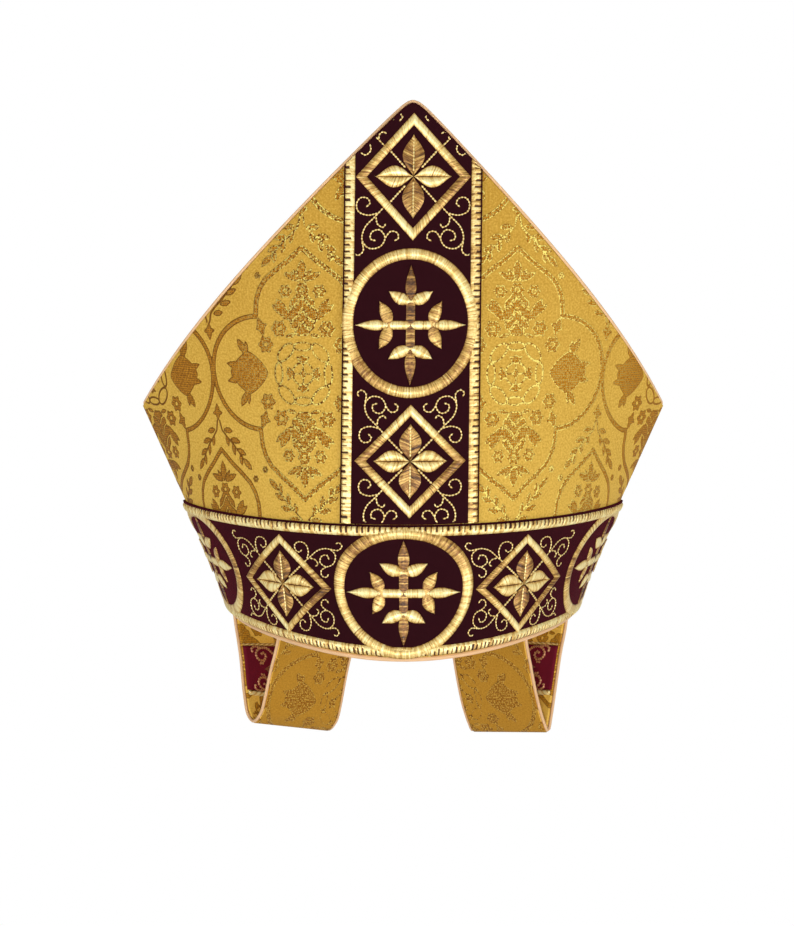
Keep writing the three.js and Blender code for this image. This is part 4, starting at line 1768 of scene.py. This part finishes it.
@dataclass
class StripWork(GroundWork):
    """One horn's embroidered strip: its maroon ground, gold borders and motifs."""

    half_width: float = 33.5
    bottom: float = 64.2
    past_edge: float = 0.7
    ground_grid: tuple = (60, 150)
    galloon_width: float = 4.8
    galloon_inset: float = 0.6
    galloon_end: float = 0.3
    # Painted sheen of the left and right borders: the right one is painted darker for how the light
    # falls on it.
    galloon_sheens: tuple = (0.96, 0.8)
    top_lozenge: tuple = (28.0, 31.2)
    top_middle: float = 233.0
    low_lozenge: tuple = (26.9, 27.7)
    low_middle: float = 94.8
    low_scroll: float = 0.9
    roundel: tuple = (33.0, 36.3)
    roundel_at: tuple = (-0.6, 160.8)
    # Where painted shade darkens the roundel's ring.
    roundel_shade_at: tuple = (0.37, 0.63)
    cross_drop: float = 1.0

    def build(self) -> None:
        """Makes the strip's ground, borders and motifs."""
        self.name = f"{self.form.side.value}_strip"
        self.ground()
        for name, sign, tone in zip(("left", "right"), (-1, 1), self.galloon_sheens):
            self.galloon(name, sign, tone)
        self.motifs()

    def ground(self) -> None:
        """The maroon cloth."""
        item, place = self.bench.grid(f"{self.name}_ground", *self.ground_grid)
        across = (2 * place[:, 0] - 1) * self.half_width
        top = self.form.top(across) + self.past_edge
        up = self.bottom + (top - self.bottom) * place[:, 1]
        self.spread(item, across, up, self.form.side is Side.BACK)
        self.bench.thicken(item, self.thickness)
        self.bench.dress(item, Finish.MAROON, self.name)

    def galloon(self, name: str, sign: int, tone: float) -> None:
        """One gold border along the strip."""
        outer = self.half_width - self.galloon_inset
        edges = sign * np.array([outer - self.galloon_width, outer])
        tops = self.form.top(edges) + self.past_edge - self.galloon_end
        rise = float(tops.max()) - self.bottom

        def rail(across: float, top: float) -> Rail:
            """One edge of the border."""
            return lambda t: np.column_stack(
                [np.full(t.shape, across), np.minimum(self.bottom + rise * t, top)]
            )

        rails = tuple(rail(across, top) for across, top in zip(edges, tops))
        item = self.border(f"{self.name}_{name}_border", rails, rise, tone)
        self.bench.dress(item, Finish.GOLD, f"{self.name}_{name}_galloon")

    def motifs(self) -> None:
        """The lozenges, roundel and scrolls."""
        stitcher = self.stitcher
        limit = self.half_width - self.galloon_inset - self.galloon_width - 0.2

        def on_cloth(flat: Points) -> Points:
            """Which flat points lie on the ground between the borders and below the edges."""
            across, up = flat[:, 0], flat[:, 1]
            top = self.form.top(np.clip(across, -self.half_width, self.half_width)) - 0.2
            return (up < top) & (np.abs(across) < limit) & (up > self.bottom + 0.6)

        top_place, low_place = (0, self.top_middle), (0, self.low_middle)
        laid = self.put(stitcher.lozenge(self.top_lozenge), [top_place])
        roundel = stitcher.roundel(self.roundel, self.roundel_shade_at, self.cross_drop)
        laid += self.put(roundel, [self.roundel_at], self.roundel_lift)
        laid += self.put(stitcher.lozenge(self.low_lozenge), [low_place])
        groups = ((top_place, 1.0, CLOSE_SCROLL), (low_place, self.low_scroll, OPEN_SCROLL))
        for place, size, upper in groups:
            for x, y in CORNERS:
                scroll = stitcher.scroll(upper if y > 0 else OPEN_SCROLL, (size * x, size * y))
                laid += self.put(scroll, [place], keep=on_cloth)
        work = self.bench.join(f"{self.name}_embroidery", laid)
        self.bench.dress(work, Finish.GOLD)


@dataclass
class Circlet(GroundWork):
    """The embroidered band round the brim, its borders and the brim's cord."""

    slit_pitch: float = 2.45
    ground_grid: tuple = (300, 10)
    galloon_width: float = 4.6
    galloon_inset: float = 0.9
    galloon_tone: float = 0.94
    side_taper: float = 0.09
    middle: float = 30.6
    roundel: tuple = (34.2, 31.4)
    # Where painted shade darkens the front roundel's ring.
    roundel_shade_at: tuple = (0.12, 0.88)
    side_roundel: tuple = (34.0, 27.2)
    # Where painted shade darkens the side roundels' rings.
    side_shade_at: tuple = (0.25, 0.75)
    side_flatness: float = 0.5
    side_lift: float = 2.9
    side_round: float = 131.5
    side_from_back: float = 61.0
    lozenge_height: float = 24.4
    lozenge_lift: float = 0.8
    # Places round the band, half widths and leans of the lozenges beside the front and the back.
    front_lozenge: tuple = (63.9, 28.3, 0.17)
    back_lozenge: tuple = (-122.0, 26.0, 0.15)
    scroll_width: float = 0.85
    scroll_height: float = 0.79
    cord_grid: tuple = (10, 320)
    cord_radius: float = 1.1
    cord_gap: float = 0.2

    def build(self) -> None:
        """Makes the band."""
        self.ground()
        self.galloons()
        self.motifs()
        self.brim_cord()

    def ground(self) -> None:
        """The maroon ring."""
        item, place = self.bench.grid("circlet_ground", *self.ground_grid)
        around = (place[:, 0] - 0.5) * self.form.full
        foot = self.form.foot(around)
        self.spread(item, around, foot + (self.form.top(around) - foot) * place[:, 1])
        self.bench.weld(item)
        self.bench.thicken(item, self.thickness)
        self.bench.dress(item, Finish.MAROON, "circlet_band")

    def galloons(self) -> None:
        """The two gold borders."""
        form, width, inset = self.form, self.galloon_width, self.galloon_inset

        def rail(height: Rail, t: Points) -> Points:
            """A line all round the band, at a height for each place."""
            around = (t - 0.5) * form.full
            return np.column_stack([around, height(around)])

        def raised(around: Points) -> Points:
            """Upper edge of the lower border, nearer to the brim at the sides."""
            taper = 1 - self.side_taper * np.sin(form.bearing(around)) ** 2
            return form.foot(around) + width * taper

        upper = [lambda x, below=below: form.top(x) - below for below in (inset + width, inset)]
        for name, heights in (("upper", upper), ("lower", (raised, form.foot))):
            rails = tuple(partial(rail, height) for height in heights)
            item = self.border(f"circlet_{name}_border", rails, form.full, self.galloon_tone)
            self.bench.weld(item)
            self.bench.dress(item, Finish.GOLD, f"circlet_{name}_galloon")

    def lozenges(self) -> list[tuple[float, float, float]]:
        """Place round the band, half width and lean of each lozenge."""
        back = self.form.full / 2
        from_back, width, lean = self.back_lozenge
        pairs = (self.front_lozenge, (back + from_back, width, lean))
        beside = [(sign * at, wide, -sign * tip) for at, wide, tip in pairs for sign in (-1, 1)]
        return [*beside, (back, width, 0.0)]

    def motifs(self) -> None:
        """Roundels and lozenges in turn round the band, with scrolls between them."""
        stitcher, bench, form = self.stitcher, self.bench, self.form

        def on_cloth(flat: Points) -> Points:
            """Which flat points lie between the borders."""
            low = form.foot(flat[:, 0]) + self.galloon_width + 0.2
            high = form.top(flat[:, 0]) - self.galloon_inset - self.galloon_width - 0.4
            return (flat[:, 1] > low) & (flat[:, 1] < high)

        roundel = stitcher.roundel(self.roundel, self.roundel_shade_at)
        side_roundel = stitcher.roundel(self.side_roundel, self.side_shade_at)
        bench.shape(side_roundel, bench.points(side_roundel) * np.array([1, 1, self.side_flatness]))
        laid = self.put(roundel, [(0.0, self.middle)], self.roundel_lift)
        behind = form.full / 2 - self.side_from_back
        rounds = (-self.side_round, self.side_round, -behind, behind)
        places = [(around, self.middle + self.side_lift) for around in rounds]
        laid += self.put(side_roundel, places, self.roundel_lift)
        for around, width, lean in self.lozenges():
            lozenge = stitcher.lozenge((width, self.lozenge_height))
            wide = self.scroll_width * width / self.front_lozenge[1]
            sizes = [(wide * x, self.scroll_height * y) for x, y in CORNERS]
            scrolls = [stitcher.scroll(OPEN_SCROLL, size, turned=True) for size in sizes]
            for pattern in (lozenge, *scrolls):
                points = bench.points(pattern)
                points[:, 0] += points[:, 1] * lean
                bench.shape(pattern, points)
            place = [(around, self.middle + self.lozenge_lift)]
            laid += self.put(lozenge, place)
            for scroll in scrolls:
                laid += self.put(scroll, place, keep=on_cloth)
        bench.dress(bench.join("circlet_embroidery", laid), Finish.GOLD)

    def brim_cord(self) -> None:
        """The peach cord under the brim."""
        around, count = self.cord_grid
        item, place = self.bench.grid("brim_cord", around, count)
        row = np.rint(place[:, 1] * count).astype(int) % count
        reach = (np.arange(count) / count - 0.5) * self.form.full
        brim = self.form.foot(reach) - self.form.bottom
        foot = self.form.lay(np.column_stack([reach, brim, 0 * reach]))
        inner = self.form.lay(np.column_stack([reach, brim, 0 * reach - self.form.wall.wall / 2]))
        out = unit((foot - inner) * np.array([1, 1, 0]))
        inner[:, 2] = brim - self.cord_gap - self.cord_radius
        turn = FULL_TURN * place[:, 0]
        points = inner[row] + out[row] * (self.cord_radius * np.cos(turn))[:, None]
        points[:, 2] += self.cord_radius * np.sin(turn)
        flat = np.column_stack([turn * self.cord_radius, place[:, 1] * self.form.full])
        self.bench.cord(item, points, flat, "brim_piping")


@dataclass
class Gusset:
    """The plain satin cloth that dips between the two horns."""

    bench: Bench
    wall: WallForm
    grid: tuple = (110, 80)
    half_span: float = 134.8
    clearance: float = 0.6
    below_edge: float = 2.2
    valley_centre: float = 128.0
    valley_side: float = 108.0
    curl: float = 1.4
    ripple: float = 0.7
    ripple_length: float = 9.0
    thickness: float = 1.2
    half_length: float = 110.0
    cut_width: float = 0.27
    cut_length: float = 0.32

    def base(self, x: Points, t: Points) -> Points:
        """A point of the lower face."""
        wall = self.wall
        top = wall.edge_height(x) - self.below_edge
        chord = wall.half_chord(top) - wall.wall * (1 + wall.seam_pinch)
        theta = np.arcsin(np.clip(x / chord, -1, 1))
        reach = np.maximum(-wall.point(theta, top, wall.wall)[:, 1] - self.clearance, 0.1)
        side = np.minimum(np.abs(x) / wall.shoulder_half_width, 1)
        valley = self.valley_centre + (self.valley_side - self.valley_centre) * side
        rise = (top - valley) * np.abs(t) ** self.curl
        wave = np.sin(x / self.ripple_length) * np.cos(t * 5.0)
        soft = self.ripple * wave * (1 - np.abs(t)) * (1 - side)
        return np.column_stack([x, reach * t, valley + rise + soft])

    def build(self) -> None:
        """Makes the gusset."""
        item, place = self.bench.grid("crown_gusset_cloth", *self.grid)
        u, t = (2 * place - 1).T
        x = self.half_span * np.sign(u) * np.abs(u) ** 0.9
        across = self.base(x + 0.2, t) - self.base(x - 0.2, t)
        deep = self.base(x, np.minimum(t + 0.01, 1)) - self.base(x, np.maximum(t - 0.01, -1))
        points = self.base(x, t) + unit(np.cross(across, deep)) * self.thickness
        self.bench.spread(item, points, np.column_stack([x, t * self.half_length]))
        self.bench.thicken(item, self.thickness)
        self.bench.dress(item, Finish.SATIN, "crown_gusset")


@dataclass
class Lappet:
    """One folded lappet with its edge cord, maroon field and gold cords."""

    stitcher: Embroiderer
    form: LappetForm
    side: str
    patch_from: float
    thickness: float = 2.0
    body_grid: tuple = (40, 230)
    damask_across: float = 26.0
    damask_up: float = 80.0
    patch_grid: tuple = (26, 16)
    patch_length: float = 25.7
    patch_lift: float = 2.25
    patch_thickness: float = 0.95
    side_margin: float = 0.5
    twist: float = 3.6
    gold_grid: tuple = (10, 150)
    # How far along the gold cords lie past the field's edges, their radii and brightness; the lower
    # one is painted brighter against the shade it lies in.
    lower_cord: tuple = (-1.8, 1.5, 1.3)
    upper_cord: tuple = (1.0, 0.7, 0.9)
    diamond: tuple = (13.0, 7.4)
    diamond_inner: float = 0.7
    diamond_length: float = 12.0
    diamond_tone: float = -0.12
    cord_radius: float = 0.9
    cord_gap: float = 0.2
    cord_around: int = 8
    corner: float = 2.0
    corner_margin: float = 1.0

    def build(self) -> None:
        """Makes the lappet."""
        self.bench = self.stitcher.bench
        self.name = f"{self.side}_lappet"
        self.first = self.form.fold_place + self.patch_from
        self.last = self.first + self.patch_length
        body = self.body()
        extras = [self.edge_cord(), self.patch()]
        for label, edge, (away, *look) in (
            ("lower", self.first, self.lower_cord), ("upper", self.last, self.upper_cord)
        ):
            extras.append(self.gold_cord(label, edge + away, *look))
        extras.append(self.motifs())

    def cloth(
        self, name: str, grid: tuple, width: float, span: tuple, lift: float
    ) -> tuple[Item, Points, Points]:
        """A sheet over part of the lappet, its face towards the inside of the fold.

        Args:
            name: The piece's name.
            grid: Faces across and along.
            width: Its width.
            span: Where along the lappet it starts and ends.
            lift: Its face's height off the middle surface.

        Returns:
            The sheet, and its points' flat places across and along.
        """
        item, place = self.bench.grid(name, *grid)
        w = (place[:, 0] - 0.5) * width
        s = span[0] + (span[1] - span[0]) * place[:, 1]
        flat = np.column_stack([w, s, np.full(w.shape, lift)])
        self.bench.spread(item, self.form.lay(flat), flat[:, :2], self.form.side < 0)
        return item, w, s

    def body(self) -> Item:
        """The brocade tail."""
        span, lift = (0.0, self.form.length), self.thickness / 2
        item, w, s = self.cloth(f"{self.name}_cloth", self.body_grid, self.form.width, span, lift)
        damask = Damask(across_at=self.damask_across, up_at=self.damask_up)
        self.bench.note(item, "figure", damask.depth(w, s))
        self.bench.thicken(item, self.thickness, lined=True)
        # Inside the fold the brocade is painted brighter against its shade; on the other side its
        # reverse is partly painted darker as shade.
        self.bench.dress(
            item, Finish.BROCADE_FOLD, self.name, lining=Finish.BROCADE_BACK, slot=Finish.BROCADE
        )
        return item

    def patch(self) -> Item:
        """The maroon field."""
        width, span = self.form.width - 2 * self.side_margin, (self.first, self.last)
        item, *_ = self.cloth(f"{self.name}_field", self.patch_grid, width, span, self.patch_lift)
        self.bench.thicken(item, self.patch_thickness)
        self.bench.dress(item, Finish.WINE, f"{self.name}_patch", slot=Finish.MAROON)
        return item

    def gold_cord(self, label: str, at: float, radius: float, tone: float) -> Item:
        """One twisted gold cord across the lappet, beside the field.

        Args:
            label: Which cord it is.
            at: Its place along the lappet.
            radius: Its radius.
            tone: How bright its thread is.

        Returns:
            The cord.
        """
        half = self.form.width / 2 - self.side_margin
        item, place = self.bench.grid(f"{self.name}_{label}_gold_cord", *self.gold_grid)
        turn = FULL_TURN * place[:, 0]
        along = (2 * place[:, 1] - 1) * half
        strand = 0.5 + 0.5 * np.cos(2 * turn - along * FULL_TURN / self.twist)
        end = np.sqrt(np.clip(1 - (np.abs(along) / half) ** 60, 0.02, 1))
        reach = radius * (0.8 + 0.2 * strand) * end
        lift = self.thickness / 2 + radius + reach * np.sin(turn)
        flat = np.column_stack([along, at + reach * np.cos(turn), lift])
        self.bench.shape(item, self.form.lay(flat) * MM)
        # Painted shade between the twisted strands.
        self.bench.note(item, "tone", np.clip(tone * (0.45 + 0.55 * strand), 0, 1))
        self.bench.weld(item)
        self.bench.dress(item, Finish.GOLD, f"{self.name}_{label}_cord")
        return item

    def motifs(self) -> Item:
        """A diamond between four scrolls on the field."""
        stitcher, tones = self.stitcher, (self.diamond_tone,) * 4
        pads = stitcher.diamond(self.diamond, self.diamond_inner, tones, self.diamond_length, 0.7, 3)
        for corner in CORNERS:
            pads += [stitcher.chain(np.array(line) * corner, 0.9, 1.9) for line in FIELD_SCROLL]
        motif = self.bench.join("field_motif", pads)
        middle = (0, (self.first + self.last) / 2)
        laid = stitcher.put(motif, self.form, [middle], self.patch_lift)
        work = self.bench.join(f"{self.name}_embroidery", laid)
        self.bench.dress(work, Finish.TAN, slot=Finish.GOLD)
        return work

    def edge_cord(self) -> Item:
        """The peach cord down both long edges and round the free end."""
        away = self.cord_gap + self.cord_radius
        half, length, corner = self.form.width / 2, self.form.length, self.corner
        down = np.linspace(0, length - corner, 150)
        turn = np.linspace(0, QUARTER_TURN, 8)[1:]
        bend = corner + away
        first = np.column_stack([np.full(down.shape, -half - away), down])
        across, along = -half + corner - bend * np.cos(turn), length - corner + bend * np.sin(turn)
        rounded = np.column_stack([across, along])
        inner = half - corner - self.corner_margin
        end = np.column_stack([np.linspace(-inner, inner, 30), np.full(30, length + away)])
        start = np.vstack([first, rounded])
        path = np.vstack([start, end, (start * [-1, 1])[::-1]])
        item, place = self.bench.grid(f"{self.name}_edge_cord", self.cord_around, len(path) - 1)
        centre = self.form.lay(np.column_stack([path, np.zeros(len(path))]))
        above = self.form.lay(np.column_stack([path, np.ones(len(path))]))
        lift = unit(above - centre)
        beside = unit(np.cross(unit(np.gradient(centre, axis=0)), lift))
        points, flat = tube(place, centre, beside, lift, self.cord_radius)
        self.bench.cord(item, points, flat, f"{self.name}_piping")
        return item


@dataclass
class Studio:
    """The pale floor, soft lights and the camera."""

    floor_size: float = 40.0
    floor_height: float = -0.16
    floor_tones: tuple = ((0.93, 0.93, 0.93), (0.9, 0.9, 0.9))
    camera_place: tuple = (-0.0032, -1.0, 0.2133)
    camera_pitch: float = math.radians(7.527)
    lens: float = 73.6
    sensor: float = 36.0
    sky_strength: float = 0.31
    aim: tuple = (0, 0, 0.12)
    # Name, place, width and power in watts of each lamp.
    lamps: tuple = (
        ("key", (0.8, -0.85, 0.0), 0.6, 6.8),
        ("fill", (-0.9, -0.85, 0.0), 0.8, 6.2),
        ("front", (-0.1, -1.9, -0.06), 0.6, 19.0),
        ("back", (0.2, 1.4, 0.9), 1.0, 12.0),
    )

    def build(self) -> None:
        """Makes the stage, the lights and the camera."""
        self.floor()
        self.sky()
        for row in self.lamps:
            self.lamp(*row)
        self.camera()
        bpy.context.scene.view_settings.view_transform = "Standard"

    def floor(self) -> None:
        """A large pale floor."""
        bpy.ops.object.select_all(action="DESELECT")
        bpy.ops.mesh.primitive_plane_add(size=self.floor_size, location=(0, 0, 0))
        item = bpy.context.active_object
        item.name = "studio_floor"
        Bench.shape(item, Bench.points(item) + np.array([0, 0, self.floor_height]))
        shader = new_material("pale floor")
        soft = shader.noise(shader.place(), 3.0, 2.0)
        colour = shader.mix(soft * 0.3, *self.floor_tones)
        item.data.materials.append(shader.surface({"Base Color": colour, "Roughness": 0.9}))
        lit = Value(shader, shader.nodes["Principled BSDF"].outputs["BSDF"])
        seen = shader.out("ShaderNodeEmission", "Emission", {}, {"Color": WHITE})
        shader.show_camera(lit, seen, "Material Output")

    def sky(self) -> None:
        """An even white surround."""
        world = bpy.data.worlds.new("studio")
        bpy.context.scene.world = world
        shader = Shader(world)
        light = shader.nodes["Background"]
        shader.feed(light.inputs["Color"], WHITE)
        shader.feed(light.inputs["Strength"], self.sky_strength)
        seen = {"Color": WHITE, "Strength": 1.0}
        backdrop = shader.out("ShaderNodeBackground", "Background", {}, seen)
        shader.show_camera(Value(shader, light.outputs["Background"]), backdrop, "World Output")

    def lamp(self, name: str, place: tuple, size: float, power: float) -> None:
        """A soft square lamp aimed at the mitre.

        Args:
            name: Its name.
            place: Where it stands.
            size: Its width.
            power: Its power in watts.
        """
        data = bpy.data.lights.new(name, "AREA")
        data.size = size
        data.energy = power
        x, y, z = np.array(self.aim) - np.array(place)
        turn = (math.atan2(math.hypot(x, y), -z), 0, math.atan2(-x, y))
        self.stand(name, data, place, turn)

    def camera(self) -> None:
        """The camera, level with the horns and tipped down a little."""
        data = bpy.data.cameras.new("camera")
        data.sensor_width = self.sensor
        data.lens = self.lens
        turn = (QUARTER_TURN - self.camera_pitch, 0, 0)
        bpy.context.scene.camera = self.stand("camera", data, self.camera_place, turn)

    @staticmethod
    def stand(name: str, data: bpy.types.ID, place: tuple, turn: tuple) -> Item:
        """Stands a lamp or the camera in the scene."""
        item = bpy.data.objects.new(name, data)
        bpy.context.collection.objects.link(item)
        item.location = place
        item.rotation_euler = turn
        return item


def main() -> None:
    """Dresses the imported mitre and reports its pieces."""
    logging.basicConfig(level=logging.INFO)
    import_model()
    Studio().build()
    bench = Bench(Palette())
    stitcher = Embroiderer(bench)
    wall = WallForm()
    HornPanels(bench, wall).build()
    for side in Side:
        StripWork(stitcher, StripForm(wall, side)).build()
    Circlet(stitcher, BandForm(wall)).build()
    Gusset(bench, wall).build()
    left, right = LappetForm(wall, -1, 7.0, LEFT_PATH), LappetForm(wall, 1, 4.5, RIGHT_PATH)
    Lappet(stitcher, left, "left", 21.3).build()
    Lappet(stitcher, right, "right", 24.7).build()
    for piece in bench.pieces:
        LOG.info("%s, %d faces", piece.name, len(piece.data.polygons))


if __name__ == "__main__":
    main()
